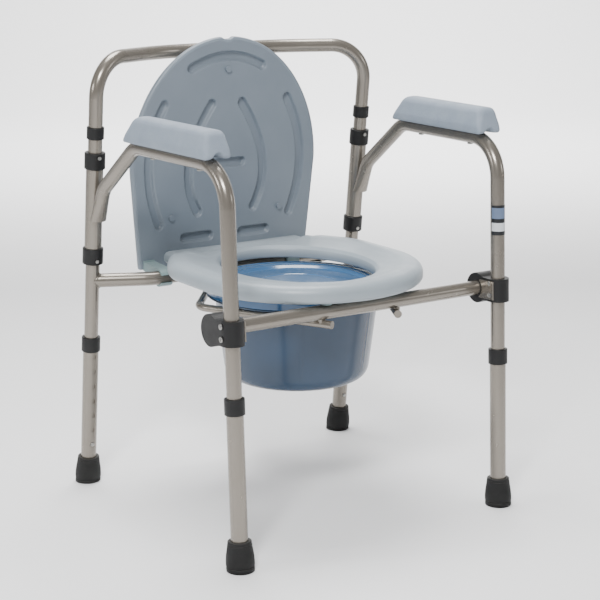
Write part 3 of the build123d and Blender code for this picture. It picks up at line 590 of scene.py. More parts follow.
# Self-skinned polyurethane foam: soft blue grey, with a fine grained skin.
PAD_SKIN = Finish(
    "pad_foam_skin", "8B96A3", "828E9C", 0.55, 0.06, Grain.LEATHER, 1.9, 0.35, mottle_mm=25.0
)
# Injection-moulded polypropylene: deep blue, half gloss. The bucket and its cover are shaded and lit copies
# of one blue. The bucket's blue is painted darker, as painted shade for walls under the seat. The cover's
# blue is painted lighter and brighter, as painted light on a top lit from above.
BUCKET_POLYMER_PAINTED_SHADE = Finish(
    "bucket_polypropylene_painted_shade", "243A52", "22374D", 0.24, 0.015, Grain.POLISHED, 4.0, 0.003
)
# Painted light: the cover's blue is the bucket's plastic painted lighter and brighter, for its top lit from
# above.
COVER_POLYMER_PAINTED_LIT = Finish(
    "cover_polypropylene_painted_lit", "2C5882", "29527A", 0.14, 0.04, Grain.POLISHED, 3.0, 0.03, coat=0.3
)
# Moulded acetal: a dull teal grey.
CLIP_ACETAL = Finish("clip_acetal", "7E9294", "74888A", 0.45, 0.06, Grain.SPARK, 0.8, 0.04)
# Zinc-plated steel: bright, faintly drawn.
ZINC_STEEL = Finish(
    "zinc_plated_steel", "A8A7A3", "989794", 0.34, 0.06, Grain.DRAWN, 0.5, 0.01, metallic=1.0
)


@dataclass(frozen=True)
class PrintedFilm(Finish):
    """Film with plain printed bands from a lower height to an upper one.

    Each band is the share of that length at which it starts, and its colour.
    """

    low_mm: float = 432.0
    high_mm: float = 478.0
    bands: tuple[tuple[float, str], ...] = (
        (0.0, "16191D"),
        (0.14, "C9CED2"),
        (0.42, "16191D"),
        (0.56, "60708A"),
        (0.92, "16191D"),
    )

    def _tone(self, tree: bpy.types.NodeTree, where: bpy.types.NodeSocket) -> bpy.types.NodeSocket:
        """Colour socket: the bands, stepped by height.

        Args:
            tree: the material's node tree.
            where: the object coordinates.

        Returns:
            The colour output.
        """
        height = add_node(tree, "ShaderNodeSeparateXYZ", {}, {"Vector": where}).outputs["Z"]
        share = add_node(
            tree,
            "ShaderNodeMapRange",
            {"From Min": self.low_mm * MM, "From Max": self.high_mm * MM},
            {"Value": height},
        )
        ramp = add_node(tree, "ShaderNodeValToRGB", {}, {"Fac": share.outputs["Result"]})
        ramp.color_ramp.interpolation = "CONSTANT"
        for _ in self.bands[2:]:
            ramp.color_ramp.elements.new(0.5)
        for element, (start, code) in zip(ramp.color_ramp.elements, self.bands):
            element.position = start
            element.color = linear(code)
        return ramp.outputs["Color"]


# Printed film: smooth and half gloss, with plain bands of print.
LABEL_FILM = PrintedFilm("label_film", "DDE2E6", "D2D9DF", 0.35, 0.04, Grain.POLISHED, 2.0, 0.01)

SLOT_FINISHES: Mapping[str, Finish] = {
    "frame_paint": POWDER_COAT,
    "black_plastic": BLACK_NYLON,
    "foot_rubber": FOOT_RUBBER,
    "seat_plastic": SEAT_POLYMER,
    "lid_plastic": LID_POLYMER,
    "pad_foam": PAD_SKIN,
    "bucket_plastic": BUCKET_POLYMER_PAINTED_SHADE,
    "cover_plastic": COVER_POLYMER_PAINTED_LIT,
    "clip_plastic": CLIP_ACETAL,
    "bright_steel": ZINC_STEEL,
    "label": LABEL_FILM,
}

# The lid's buffers are moulded in the lid's own plastic.
NODE_SLOTS: Mapping[str, str] = {"lid_bumpers": "lid_plastic"}


class Wardrobe:
    """The finished materials, made once, and the way that pieces and CAD nodes put them on."""

    def __init__(self) -> None:
        """Make every material of the chair."""
        self.materials = {slot: finish.material() for slot, finish in SLOT_FINISHES.items()}

    def dress(self, piece: bpy.types.Object, slot: str, body: str, *nodes: str) -> bpy.types.Object:
        """Give a new piece its material, its body and the CAD nodes that it stands for.

        Args:
            piece: the new piece.
            slot: the record's material slot.
            body: the body that it rides on.
            nodes: the CAD nodes that it replaces.

        Returns:
            The same piece.
        """
        piece.data.materials.append(self.materials[slot])
        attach(piece, body)
        if nodes:
            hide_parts(*nodes)
        LOG.info("%s: %d faces on %s", piece.name, len(piece.data.polygons), body)
        return piece

    def dress_frame(self) -> None:
        """Give every CAD node the material of its slot."""
        for part in frame["record"]["subparts"]:
            slot = NODE_SLOTS.get(part["node"], part["material_slot"])
            for worn in frame["nodes"][part["node"]].material_slots:
                worn.material = self.materials[slot]


# ---------------------------------------------------------------- moulded parts


@dataclass(frozen=True)
class SeatRing:
    """Moulded seat: a rounded outer edge, a crest, and a dish that falls to the opening."""

    bottom: float = 361.0
    top: float = 389.0
    half_width: float = 183.0
    front_length: float = 181.0
    middle_y: float = -39.0
    opening_half_width: float = 112.0
    opening_half_length: float = 140.5
    opening_y: float = -15.5
    shoulder_half: float = 146.0
    shoulder_y: float = 133.85
    lobe_half: float = 131.0
    lobe_taper: float = 3.0
    lobe_y: float = 184.85
    lobe_step: float = 7.0
    step_run: float = 3.0
    flank_y: float = 45.0
    flank_pull: float = 52.0
    corner_reach: float = 3.5
    outer_radius: float = 15.0
    under_radius: float = 8.0
    lip: float = 5.0
    lip_fall: float = 8.0
    crest: float = 1.0
    columns: int = 420

    def outline(self) -> np.ndarray:
        """Outer edge: half an ellipse in front, narrowing flanks, a shoulder and the hinge lobe.

        Returns:
            Evenly spaced points of the closed edge.
        """
        turn = np.linspace(-math.pi / 2.0, 0.0, 90)
        front = np.stack(
            [self.half_width * np.cos(turn), self.middle_y + self.front_length * np.sin(turn)], axis=-1
        )
        t = np.linspace(0.0, 1.0, 24)[:, None]
        start, pull, end = (
            np.array(spot)
            for spot in (
                (self.half_width, self.flank_y),
                (self.half_width, self.shoulder_y - self.flank_pull),
                (self.shoulder_half, self.shoulder_y),
            )
        )
        flank = (1 - t) ** 2 * start + 2 * t * (1 - t) * pull + t**2 * end
        lobe = np.array(
            [
                (self.lobe_half, self.shoulder_y),
                (self.lobe_half - self.lobe_taper, self.lobe_y),
                (0.0, self.lobe_y),
            ]
        )
        loop = resample(mirrored(np.vstack([front, flank, lobe])), self.columns)
        return soften(loop, self.corner_reach)

    def section(self, width: np.ndarray) -> tuple[np.ndarray, np.ndarray]:
        """Cross-section from the outer edge to the opening, as inset and height.

        Args:
            width: the ring's width at each column.

        Returns:
            Insets from the outer edge and heights, rows by columns.
        """
        outer, under = self.outer_radius, self.under_radius
        rim, lip = self.top - self.crest, self.top - self.lip_fall
        arc = np.linspace(0.0, math.pi / 2.0, 9)
        run = np.linspace(0.0, 1.0, 14)[1:-1]
        dish = rim + self.crest * np.sin(math.pi * np.clip(run * 2.5, 0, 1))
        dish = dish - (rim - lip) * smoothstep(run, 0.1, 1.05)
        rows = [(outer * (1 - math.cos(turn)), rim - outer * (1 - math.sin(turn))) for turn in arc]
        rows += [(outer + t * (width - outer - self.lip), up) for t, up in zip(run, dish)]
        rows += [(width - self.lip * math.cos(turn), lip - self.lip * (1 - math.cos(turn))) for turn in arc]
        rows += [
            (width, self.bottom + 3.0),
            (width - 1.0, self.bottom + 1.0),
            (width - 3.0, self.bottom + 0.4),
            (width * 0.5, self.bottom + 0.4),
        ]
        rows += [(under * (1 - math.sin(turn)), self.bottom + under * (1 - math.cos(turn))) for turn in arc]
        insets, heights = (np.array([part * np.ones_like(width) for part in parts]) for parts in zip(*rows))
        return insets, heights

    def build(self, wardrobe: Wardrobe) -> None:
        """Make the seat: each column runs from a point of the outer edge to the opening.

        Args:
            wardrobe: the chair's materials.
        """
        edge = self.outline()
        centre = np.array([0.0, self.opening_y])
        heading = np.arctan2(
            (edge[:, 1] - centre[1]) / self.opening_half_length, edge[:, 0] / self.opening_half_width
        )
        opening = centre + np.stack(
            [self.opening_half_width * np.cos(heading), self.opening_half_length * np.sin(heading)], axis=-1
        )
        span = opening - edge
        width = np.linalg.norm(span, axis=1)
        inset, height = self.section(width)
        plan = edge[None] + span[None] * (inset / width)[..., None]
        shoulder = self.shoulder_y
        stepped = smoothstep(plan[..., 1], shoulder - self.step_run, shoulder + self.step_run)
        share = (height - self.bottom) / (self.top - self.bottom)
        height = height - self.lobe_step * stepped * share
        points = np.concatenate([plan, height[..., None]], axis=-1)
        seat = mesh_object("seat_moulding", *shell(points, along=True))
        wardrobe.dress(seat, "seat_plastic", "seat", "seat_ring")


@dataclass(frozen=True)
class LidPanel:
    """Moulded lid that stands open: pressed grooves in its face and a softly rounded edge."""

    hinge_y: float = 152.85
    hinge_z: float = 345.0
    open_angle: float = 87.3
    offset: float = 49.6
    thickness: float = 12.0
    start: float = 0.7
    rear_half: float = 161.0
    half_width: float = 176.0
    straight: float = 162.8
    round_length: float = 209.0
    groove_width: float = 16.0
    groove_depth: float = 7.5
    wall_inside: float = 1.7
    wall_outside: float = 0.4
    notch_depth: float = 4.0
    notch_half: float = 6.0
    notch_end: float = 10.0
    corner_reach: float = 2.0
    hollow: float = 1.2
    edge: float = 4.0
    columns: int = 620
    rows: int = 120

    def plane(self) -> Placement:
        """Frame of the lid's face: across, thickness backwards, and up from the hinge.

        Returns:
            The placement, whose back direction runs through the lid's thickness.
        """
        opened = math.radians(self.open_angle)
        up = np.array([0.0, -math.cos(opened), math.sin(opened)])
        back = np.array([0.0, math.sin(opened), math.cos(opened)])
        origin = np.array([0.0, self.hinge_y, self.hinge_z]) + back * self.offset
        return Placement(origin, RIGHT, back, up)

    def outline(self) -> np.ndarray:
        """Outer edge: a straight hinge end, widening flanks, half an ellipse and a finger notch.

        Returns:
            Evenly spaced points of the closed edge.
        """
        turn = np.linspace(0.0, math.pi / 2.0, 120)
        head = np.stack(
            [self.half_width * np.cos(turn), self.straight + self.round_length * np.sin(turn)], axis=-1
        )
        head[:, 1] -= self.notch_depth * (1.0 - smoothstep(head[:, 0], self.notch_half, self.notch_end))
        foot = np.array([(0.0, self.start), (self.rear_half, self.start)])
        loop = resample(mirrored(np.vstack([foot, head])), 4 * self.columns)
        return soften(loop, self.corner_reach)[::4]

    def groove_lines(self) -> list[np.ndarray]:
        """Centre lines of the grooves: parabolas through three points, and short straight slots.

        The points are shares of the lid's half width and of its length.

        Returns:
            One array of points for each groove.
        """
        threes = [
            ((-0.375, 0.869), (0.0, 0.916), (0.375, 0.869)),
            ((-0.159, 0.444), (0.0, 0.444), (0.159, 0.444)),
        ]
        for flip in (-1, 1):
            threes.append(((flip * 0.662, 0.718), (flip * 0.821, 0.468), (flip * 0.712, 0.195)))
            threes.append(((flip * 0.162, 0.709), (flip * 0.397, 0.457), (flip * 0.304, 0.235)))
            threes.append(((flip * 0.181, 0.124), (flip * 0.312, 0.124), (flip * 0.443, 0.124)))
        scale = np.array([self.half_width, self.straight + self.round_length])
        t = np.linspace(0.0, 1.0, 60)[:, None]
        lines = []
        for start, middle, end in threes:
            a, m, b = (np.array(spot) * scale for spot in (start, middle, end))
            pull = 2.0 * m - 0.5 * (a + b)
            lines.append((1 - t) ** 2 * a + 2 * t * (1 - t) * pull + t**2 * b)
        return lines

    def depth(self, plan: np.ndarray) -> np.ndarray:
        """Depth of the grooves: full inside half the width, easing to nothing over the wall.

        Args:
            plan: points of the face.

        Returns:
            The depth at each point.
        """
        flat = plan.reshape(-1, 2)
        nearest = np.full(len(flat), np.inf)
        for station in np.vstack(self.groove_lines()):
            nearest = np.minimum(nearest, np.hypot(*(flat - station).T))
        half = self.groove_width / 2.0
        wall = 1.0 - smoothstep(nearest, half - self.wall_inside, half + self.wall_outside)
        return (self.groove_depth * wall).reshape(plan.shape[:-1])

    def build(self, wardrobe: Wardrobe) -> None:
        """Make the lid: rings from the face's middle to the edge, round it, and back behind.

        Args:
            wardrobe: the chair's materials.
        """
        edge = self.outline()
        centre = np.array([0.0, self.straight])
        reach = np.linalg.norm(edge - centre, axis=1)
        arc = np.linspace(0.0, math.pi / 2.0, 8)
        face = np.linspace(0.02, 1.0, self.rows)[:, None] * (reach - self.edge)
        rim = reach - self.edge + self.edge * np.sin(arc)[:, None]
        behind = np.linspace(1.0, 0.04, 12)[:, None] * (reach - self.edge)
        radii = np.vstack([face, rim, rim[::-1], behind])
        plan = centre + (edge - centre)[None] * (radii / reach)[..., None]
        sink = self.depth(plan[: self.rows])
        rounding = self.edge * (1.0 - np.cos(arc))[:, None] * np.ones_like(reach)
        crown = self.thickness - self.hollow * smoothstep(behind / reach, 0.55, 1.0)
        rear_rounding = (self.thickness - self.hollow) - rounding[::-1]
        through = np.vstack([sink, rounding, rear_rounding, crown])
        points = self.plane().place(plan[..., 0], through, plan[..., 1])
        lid = mesh_object("lid_moulding", *shell(points, poles=True))
        wardrobe.dress(lid, "lid_plastic", "lid", "lid_panel")


@dataclass(frozen=True)
class ArmPad:
    """Foam pad on an arm tube: a rounded taper, crowned on top and grooved underneath."""

    bottom: float = 584.1
    height: float = 39.5
    bottom_width: float = 44.0
    top_width: float = 31.0
    front: float = 43.0
    length: float = 238.0
    front_slant: float = 10.0
    rear_slant: float = 28.0
    tube_radius: float = 11.1
    tube_clearance: float = 0.25
    arm_height: float = 576.0
    rounding: float = 9.0
    mouth_rise: float = 5.0
    mouth_run: float = 16.0
    mouth_half: float = 7.5
    columns: int = 132

    def section(self) -> np.ndarray:
        """Cross-section: upright flanks low down, a taper above, a crown, and the tube's groove.

        Returns:
            Evenly spaced points of width and height above the pad's underside.
        """
        low, high = self.bottom_width / 2.0, self.top_width / 2.0
        sink = self.bottom - self.arm_height
        groove_half = math.sqrt(self.tube_radius**2 - sink**2) + 0.2
        turn = np.linspace(-groove_half, groove_half, 16)
        rise = np.sqrt((self.tube_radius + self.tube_clearance) ** 2 - turn**2) - sink
        right = np.array(
            [
                (groove_half, 0.0),
                (low - 2.0, 0.0),
                (low, 2.5),
                (low, self.height * 0.30),
                (high + 1.6, self.height - 7.0),
                (high - 1.5, self.height - 2.4),
                (high - 6.0, self.height - 0.4),
                (0.0, self.height + 0.4),
            ]
        )
        left = right[-2::-1] * np.array([-1.0, 1.0])
        under = np.stack([turn, np.maximum(rise, 0.0)], axis=-1)
        loop = resample(np.vstack([right, left, under[1:-1]]), self.columns)
        return soften(loop, 1.5)

    def build(self, side: Side, stance: Stance, wardrobe: Wardrobe) -> None:
        """Make one pad: the section carried back along the arm, drawn in over rounded ends.

        The groove opens upwards at the front, where the tube bends away: a bell curve along the
        arm times a bell curve across it.

        Args:
            side: the pad's side.
            stance: the leg lines.
            wardrobe: the chair's materials.
        """
        section = self.section()
        arc = np.linspace(0.0, math.pi / 2.0, 9)
        ends_in = self.rounding * (1.0 - np.sin(arc))
        ends_at = self.rounding * (1.0 - np.cos(arc))
        middle = np.linspace(self.rounding, self.length - self.rounding, 60)[1:-1]
        at = np.concatenate([[0.0, 0.0], ends_at, middle, self.length - ends_at[::-1], [self.length] * 2])
        cap_in = [self.rounding] * 2
        inset = np.concatenate([cap_in, ends_in, np.zeros_like(middle), ends_in[::-1], cap_in])
        cap = np.ones_like(at)
        cap[[0, -1]], cap[[1, -2]] = 0.12, 0.6
        centre = np.array([0.0, self.height * 0.6])
        reach = np.linalg.norm(section - centre, axis=1)
        shrink = (1.0 - inset[:, None] / reach) * cap[:, None]
        width = centre[0] + (section[:, 0] - centre[0]) * shrink
        up = centre[1] + (section[:, 1] - centre[1]) * shrink
        bell = np.exp(-((at / self.mouth_run) ** 2))[:, None] * np.exp(-((width / self.mouth_half) ** 2))
        up = up + self.mouth_rise * bell * (1.0 - smoothstep(up, 3.0, 12.0))
        share = up / self.height
        start = self.front + self.front_slant * share
        stretch = (self.length - (self.front_slant + self.rear_slant) * share) / self.length
        back = start + at[:, None] * stretch
        points = stance.side_plane(side).place(width, back, up + self.bottom)
        pad = mesh_object(f"{side.label}_padded_arm", *shell(points, poles=True))
        wardrobe.dress(pad, "pad_foam", f"{side.label}_side_frame", f"{side.label}_arm_pad")


@dataclass(frozen=True)
class Bucket:
    """Round tapering bucket with a rolled flange, and its dished cover."""

    y: float = -14.0
    wall: float = 2.5
    bottom: float = 200.0
    mouth_radius: float = 128.5
    foot_radius: float = 112.0
    edge_radius: float = 34.0
    flange: float = 334.2
    rim_radius: float = 141.5
    rim_thickness: float = 3.0
    rim_rise: float = 12.0
    cover_gap: float = 0.3
    cover_height: float = 8.0
    dish_radius: float = 112.0
    dish_depth: float = 5.0
    rib_count: int = 6
    rib_bottom: float = 224.0
    rib_height: float = 0.7
    rib_half: float = 1.7
    columns: int = 360
    cover_columns: int = 240

    def place(self) -> Placement:
        """Frame of the bucket's axis."""
        return Placement(self.y * BACK, RIGHT, BACK, UP)

    def build_bucket(self, wardrobe: Wardrobe) -> None:
        """Make the bucket, with thin upright flow ribs on its outside.

        Args:
            wardrobe: the chair's materials.
        """
        top = self.flange + self.rim_rise
        lip = self.flange + self.rim_thickness
        inner_foot = self.foot_radius - self.wall
        outside = fillet_profile(
            [
                (0.0, self.bottom + 1.5, 0.0),
                (62.0, self.bottom + 1.5, 2.0),
                (66.0, self.bottom, 2.0),
                (self.foot_radius, self.bottom, self.edge_radius),
                (self.mouth_radius, self.flange, 2.0),
                (self.rim_radius, self.flange, 1.4),
                (self.rim_radius, lip, 1.4),
                (self.mouth_radius + 0.5, lip, 1.5),
                (self.mouth_radius, top, 1.1),
                (self.mouth_radius - self.wall, top, 1.1),
                (inner_foot, self.bottom + self.wall, self.edge_radius - self.wall),
                (0.0, self.bottom + self.wall, 0.0),
            ],
            steps=14,
        )
        stations = np.arange(len(outside))
        rows = np.linspace(0.0, stations[-1], 3 * len(outside))
        dense = np.stack([np.interp(rows, stations, outside[:, k]) for k in (0, 1)], axis=-1)
        phase = (full_turn(self.columns) * self.rib_count / (2.0 * math.pi) + 0.5) % 1.0 - 0.5
        away = np.abs(phase) * 2.0 * math.pi * self.mouth_radius / self.rib_count
        on_wall = smoothstep(dense[:, 1], self.rib_bottom, self.rib_bottom + 6.0)
        on_wall *= 1.0 - smoothstep(dense[:, 1], self.flange - 8.0, self.flange - 3.0)
        on_wall[np.argmax(dense[:, 1]) :] = 0.0
        ripple = self.rib_height * on_wall[:, None] * np.exp(-((away / self.rib_half) ** 2))
        points = turned(dense, self.place(), self.columns, ripple)
        bucket = mesh_object("bucket_moulding", *shell(points, poles=True))
        wardrobe.dress(bucket, "bucket_plastic", "bucket", "bucket")

    def build_cover(self, wardrobe: Wardrobe) -> None:
        """Make the cover: a shallow dish with raised rings and a small middle boss.

        Args:
            wardrobe: the chair's materials.
        """
        low = self.flange + self.rim_thickness + self.cover_gap
        under = self.flange + self.rim_rise + self.cover_gap
        top = under + self.cover_height
        floor = top - self.dish_depth
        inner = self.mouth_radius + self.cover_gap
        profile = fillet_profile(
            [
                # the middle boss, and the ring round it
                (0.0, floor + 1.6, 0.0), (7.0, floor + 1.6, 1.2), (8.5, floor, 1.2), (60.0, floor, 1.0),
                (61.5, floor + 0.8, 0.8), (64.5, floor + 0.8, 0.8), (66.0, floor, 1.0),
                # the dish's wall, then the two ridges over the rim
                (self.dish_radius - 6.0, floor, 3.0), (self.dish_radius, top - 1.0, 2.5),
                (118.0, top - 1.0, 1.5), (121.0, top, 1.5), (126.0, top, 1.5), (129.0, top - 1.2, 1.5),
                (133.0, top - 1.2, 1.5), (135.5, top - 0.3, 1.2), (139.0, top - 0.5, 1.8),
                # the outer edge and the underside
                (self.rim_radius, top - 3.0, 2.2), (self.rim_radius, low, 1.0),
                (inner, low, 1.0), (inner, under, 1.5), (0.0, under, 0.0),
            ],
            steps=7,
        )
        points = turned(profile, self.place(), self.cover_columns)
        cover = mesh_object("bucket_cover_moulding", *shell(points, poles=True))
        wardrobe.dress(cover, "cover_plastic", "bucket_cover", "bucket_lid")


@dataclass(frozen=True)
class Ferrule:
    """Rubber foot: a lipped sleeve that swells towards a grooved tread."""

    leg_outer: float = 12.5
    bore_clearance: float = 0.05
    leg_bottom: float = 8.0
    height: float = 44.0
    wall_top: float = 5.0
    wall_bulge: float = 8.5
    columns: int = 96

    def build(self, name: str, body: str, place: Placement, wardrobe: Wardrobe) -> None:
        """Make one foot about its leg and press its base flat on the floor.

        Args:
            name: the CAD node that it stands for.
            body: the leg's body.
            place: the leg's frame.
            wardrobe: the chair's materials.
        """
        neck, bulge = self.leg_outer + self.wall_top, self.leg_outer + self.wall_bulge
        bore = self.leg_outer + self.bore_clearance
        profile = fillet_profile(
            [
                # the base starts below the floor, because the leg leans
                (0.0, -4.0, 0.0), (bulge - 0.4, -4.0, 0.5), (bulge - 0.4, 5.0, 0.8),
                # the tread's groove, then the swell
                (bulge - 1.5, 5.8, 0.5), (bulge - 1.5, 7.0, 0.5), (bulge - 0.1, 7.8, 0.8),
                (bulge, 14.0, 6.0), (bulge - 0.6, 22.0, 8.0), (neck + 0.6, 37.0, 8.0),
                # the neck's groove and lip, then the bore
                (neck + 0.6, 38.6, 0.5), (neck - 0.4, 39.4, 0.4), (neck, 40.4, 0.5),
                (neck, self.height, 1.6), (bore, self.height, 0.8),
                (bore, self.leg_bottom, 0.3), (0.0, self.leg_bottom, 0.0),
            ]
        )
        points = turned(profile, place, self.columns)
        points[..., 2] = np.maximum(points[..., 2], 0.0)
        foot = mesh_object(f"{name}_tip", *shell(points, poles=True))
        wardrobe.dress(foot, "foot_rubber", body, name)


# ---------------------------------------------------------------- fittings


class Drive(Enum):
    """The recess in a fastener's head."""

    CROSS = "cross"
    HEX = "hexagon"
    HOLLOW = "round"


@dataclass(frozen=True)
class Fastener:
    """A domed head with a recess, and its shank, along one line.

    The recess sizes are shares of the head's radius, and its depth is a share of the head's height.
    """

    head_radius: float
    head_height: float
    shank_radius: float
    shank_length: float
    drive: Drive
    cross_half: float = 0.13
    cross_reach: float = 0.58
    hexagon_half: float = 0.48
    hole_radius: float = 0.55
    recess_depth: float = 0.55
    columns: int = 48

    def points(self, seat: np.ndarray, outward: np.ndarray) -> np.ndarray:
        """Surface of revolution with a recess that depends on the angle.

        Args:
            seat: the point under the head, on its axis.
            outward: the direction that the head faces.

        Returns:
            Rows by columns of points, from the middle of the head to the end of the shank.
        """
        outward = outward / np.linalg.norm(outward)
        helper = UP if abs(outward[2]) < 0.9 else RIGHT
        across = np.cross(helper, outward)
        across /= np.linalg.norm(across)
        place = Placement(seat, across, np.cross(outward, across), outward)
        edge = 0.95 + 0.05 * np.sin(np.linspace(0.2, 1.57, 5))
        share = np.concatenate([np.linspace(0.04, 0.95, 18), edge])
        dome = self.head_height * (0.55 + 0.45 * np.sqrt(np.clip(1.0 - (share * 0.97) ** 2, 0.0, 1.0)))
        shank = [self.head_radius, self.shank_radius, self.shank_radius]
        radius = np.concatenate([share * self.head_radius, shank])
        height = np.concatenate([dome, [0.0, 0.0, -self.shank_length]])
        angle = full_turn(self.columns)
        x, y = radius[:, None] * np.cos(angle), radius[:, None] * np.sin(angle)
        scaled_x, scaled_y = np.abs(x) / self.head_radius, np.abs(y) / self.head_radius
        if self.drive is Drive.CROSS:
            narrow, wide = np.minimum(scaled_x, scaled_y), np.maximum(scaled_x, scaled_y)
            inside = (narrow < self.cross_half) & (wide < self.cross_reach)
        elif self.drive is Drive.HEX:
            inside = np.maximum(scaled_x, 0.5 * scaled_x + 0.866 * scaled_y) < self.hexagon_half
        else:
            inside = np.hypot(scaled_x, scaled_y) < self.hole_radius
        on_head = (np.arange(len(radius)) < len(dome))[:, None]
        sunk = np.where(inside & on_head, self.recess_depth * self.head_height, 0.0)
        return place.place(x, y, height[:, None] - sunk)


@dataclass(frozen=True)
class Fittings:
    """Fasteners and weld beads of the frame."""

    stance: Stance
    bar_height: float = 345.0
    clamp_half: float = 17.5
    tube_radius: float = 11.1
    arm_height: float = 576.0
    bolt_rise: float = 12.0
    rivet_drop: float = 6.0
    pad_screws_at: tuple[float, float] = (94.0, 222.0)
    collar_screws_at: tuple[float, float] = (383.05, 549.75)
    collar_face: float = 15.9
    rod_bend: tuple[float, float] = (165.0, 152.85)
    weld_radius: float = 1.7
    weld_pitch: float = 2.4

    def gather(self, name: str, grids: Sequence[np.ndarray]) -> bpy.types.Object:
        """One mesh of several grids that are closed to a point at both ends.

        Args:
            name: the piece's name.
            grids: rows by columns by 3 for each fastener.

        Returns:
            The joined mesh object.
        """
        vertices, faces = np.empty((0, 3)), []
        for points, corners in (shell(grid, poles=True) for grid in grids):
            faces += [[corner + len(vertices) for corner in face] for face in corners]
            vertices = np.vstack([vertices, points])
        return mesh_object(name, vertices, faces)

    def clamp_bolts(self, side: Side, wardrobe: Wardrobe) -> None:
        """Two bolts through one bar clamp: a domed socket head above a hollow rivet.

        Args:
            side: the clamp's side.
            wardrobe: the chair's materials.
        """
        place = self.stance.front_leg(side)
        outward = place.across * side.value
        middle = self.bar_height / math.cos(math.radians(self.stance.front_lean))
        grids = []
        for rise, drive in ((self.bolt_rise, Drive.HEX), (-self.rivet_drop, Drive.HOLLOW)):
            outer = place.place(side.value * self.clamp_half, 0.0, middle + rise)
            inner = place.place(-side.value * (self.clamp_half - 2.0), 0.0, middle + rise)
            grids.append(Fastener(4.2, 2.4, 2.5, self.clamp_half, drive).points(outer, outward))
            tail = Fastener(4.0, 2.6, 2.5, self.clamp_half - 3.0, Drive.HOLLOW)
            grids.append(tail.points(inner, -outward))
        piece = self.gather(f"{side.label}_clamp_fasteners", grids)
        wardrobe.dress(piece, "bright_steel", f"{side.label}_side_frame", f"{side.label}_clamp_bolts")

    def pad_screws(self, side: Side, wardrobe: Wardrobe) -> None:
        """Two pan-head screws under one arm tube.

        Args:
            side: the arm's side.
            wardrobe: the chair's materials.
        """
        place = self.stance.side_plane(side)
        under = self.arm_height - self.tube_radius + 0.3
        screw = Fastener(4.5, 2.6, 2.0, 34.0, Drive.CROSS)
        grids = [screw.points(place.place(0.0, back, under), -UP) for back in self.pad_screws_at]
        piece = self.gather(f"{side.label}_pad_screw_heads", grids)
        wardrobe.dress(piece, "bright_steel", f"{side.label}_side_frame", f"{side.label}_arm_pad_screws")

    def swivel_screws(self, side: Side, wardrobe: Wardrobe) -> None:
        """Two set screws in the fronts of one upright's stop collars.

        Args:
            side: the upright's side.
            wardrobe: the chair's materials.
        """
        place = self.stance.rear_leg(side)
        screw = Fastener(2.9, 1.0, 2.4, 4.0, Drive.HEX)
        seats = [place.place(0.0, -self.collar_face, along) for along in self.collar_screws_at]
        grids = [screw.points(seat, -place.back) for seat in seats]
        piece = self.gather(f"{side.label}_collar_screw_heads", grids)
        wardrobe.dress(piece, "bright_steel", "frame", f"{side.label}_swivel_screws")

    def weld(self, name: str, body: str, path: np.ndarray, wardrobe: Wardrobe) -> None:
        """One weld bead: a round bead whose radius ripples as the weld pool moved.

        Args:
            name: the piece's name.
            body: the body that carries it.
            path: the bead's line.
            wardrobe: the chair's materials.
        """
        length = run_lengths(path)
        ripple = self.weld_radius * (1.0 + 0.10 * np.sin(length * 2.0 * math.pi / self.weld_pitch))
        ends = np.minimum(smoothstep(length, -1.0, 3.0), smoothstep(length[-1] - length, -1.0, 3.0))
        bead = swept(path, np.maximum(ripple * ends, 0.2))
        wardrobe.dress(mesh_object(name, *shell(bead, poles=True)), "frame_paint", body)

    def cope(
        self, host: Placement, host_radius: float, axis: np.ndarray, through: np.ndarray
    ) -> np.ndarray:
        """Line where a round tube meets a host cylinder.

        Each point starts on the tube's surface and slides along the tube's axis to the host's
        surface: the root of a quadratic in the distance along the axis.

        Args:
            host: the host cylinder's frame, with its axis up.
            host_radius: the host's radius.
            axis: the tube's direction away from the host.
            through: a point of the tube's axis.

        Returns:
            The closed line's points.
        """
        axis = axis / np.linalg.norm(axis)
        side = np.cross(axis, host.up)
        side /= np.linalg.norm(side)
        other = np.cross(axis, side)
        turn = np.linspace(0.0, 2.0 * math.pi, 97)[:, None]
        ring = through + self.tube_radius * 0.985 * (np.cos(turn) * side + np.sin(turn) * other)
        flat_axis = axis - host.up * np.dot(axis, host.up)
        offset = ring - host.origin
        offset = offset - host.up * (offset @ host.up)[:, None]
        a = float(flat_axis @ flat_axis)
        b = 2.0 * offset @ flat_axis
        c = np.einsum("ij,ij->i", offset, offset) - host_radius**2
        root = (-b + np.sqrt(np.maximum(b * b - 4.0 * a * c, 0.0))) / (2.0 * a)
        return ring + axis * root[:, None]

    def build(self, wardrobe: Wardrobe) -> None:
        """Make every fastener and weld of both sides.

        Args:
            wardrobe: the chair's materials.
        """
        for side in Side:
            self.clamp_bolts(side, wardrobe)
            self.pad_screws(side, wardrobe)
            self.swivel_screws(side, wardrobe)
            host, out = self.stance.rear_leg(side), side.value
            reach = self.stance.rear_y(self.bar_height)
            root = np.array([out * self.stance.rear_half_width, reach, self.bar_height])
            bend = np.array([out * self.rod_bend[0], self.rod_bend[1], self.bar_height])
            line = self.cope(host, self.tube_radius + 0.2, bend - root, root)
            self.weld(f"{side.label}_cross_tube_weld", "frame", line, wardrobe)


# ---------------------------------------------------------------- studio


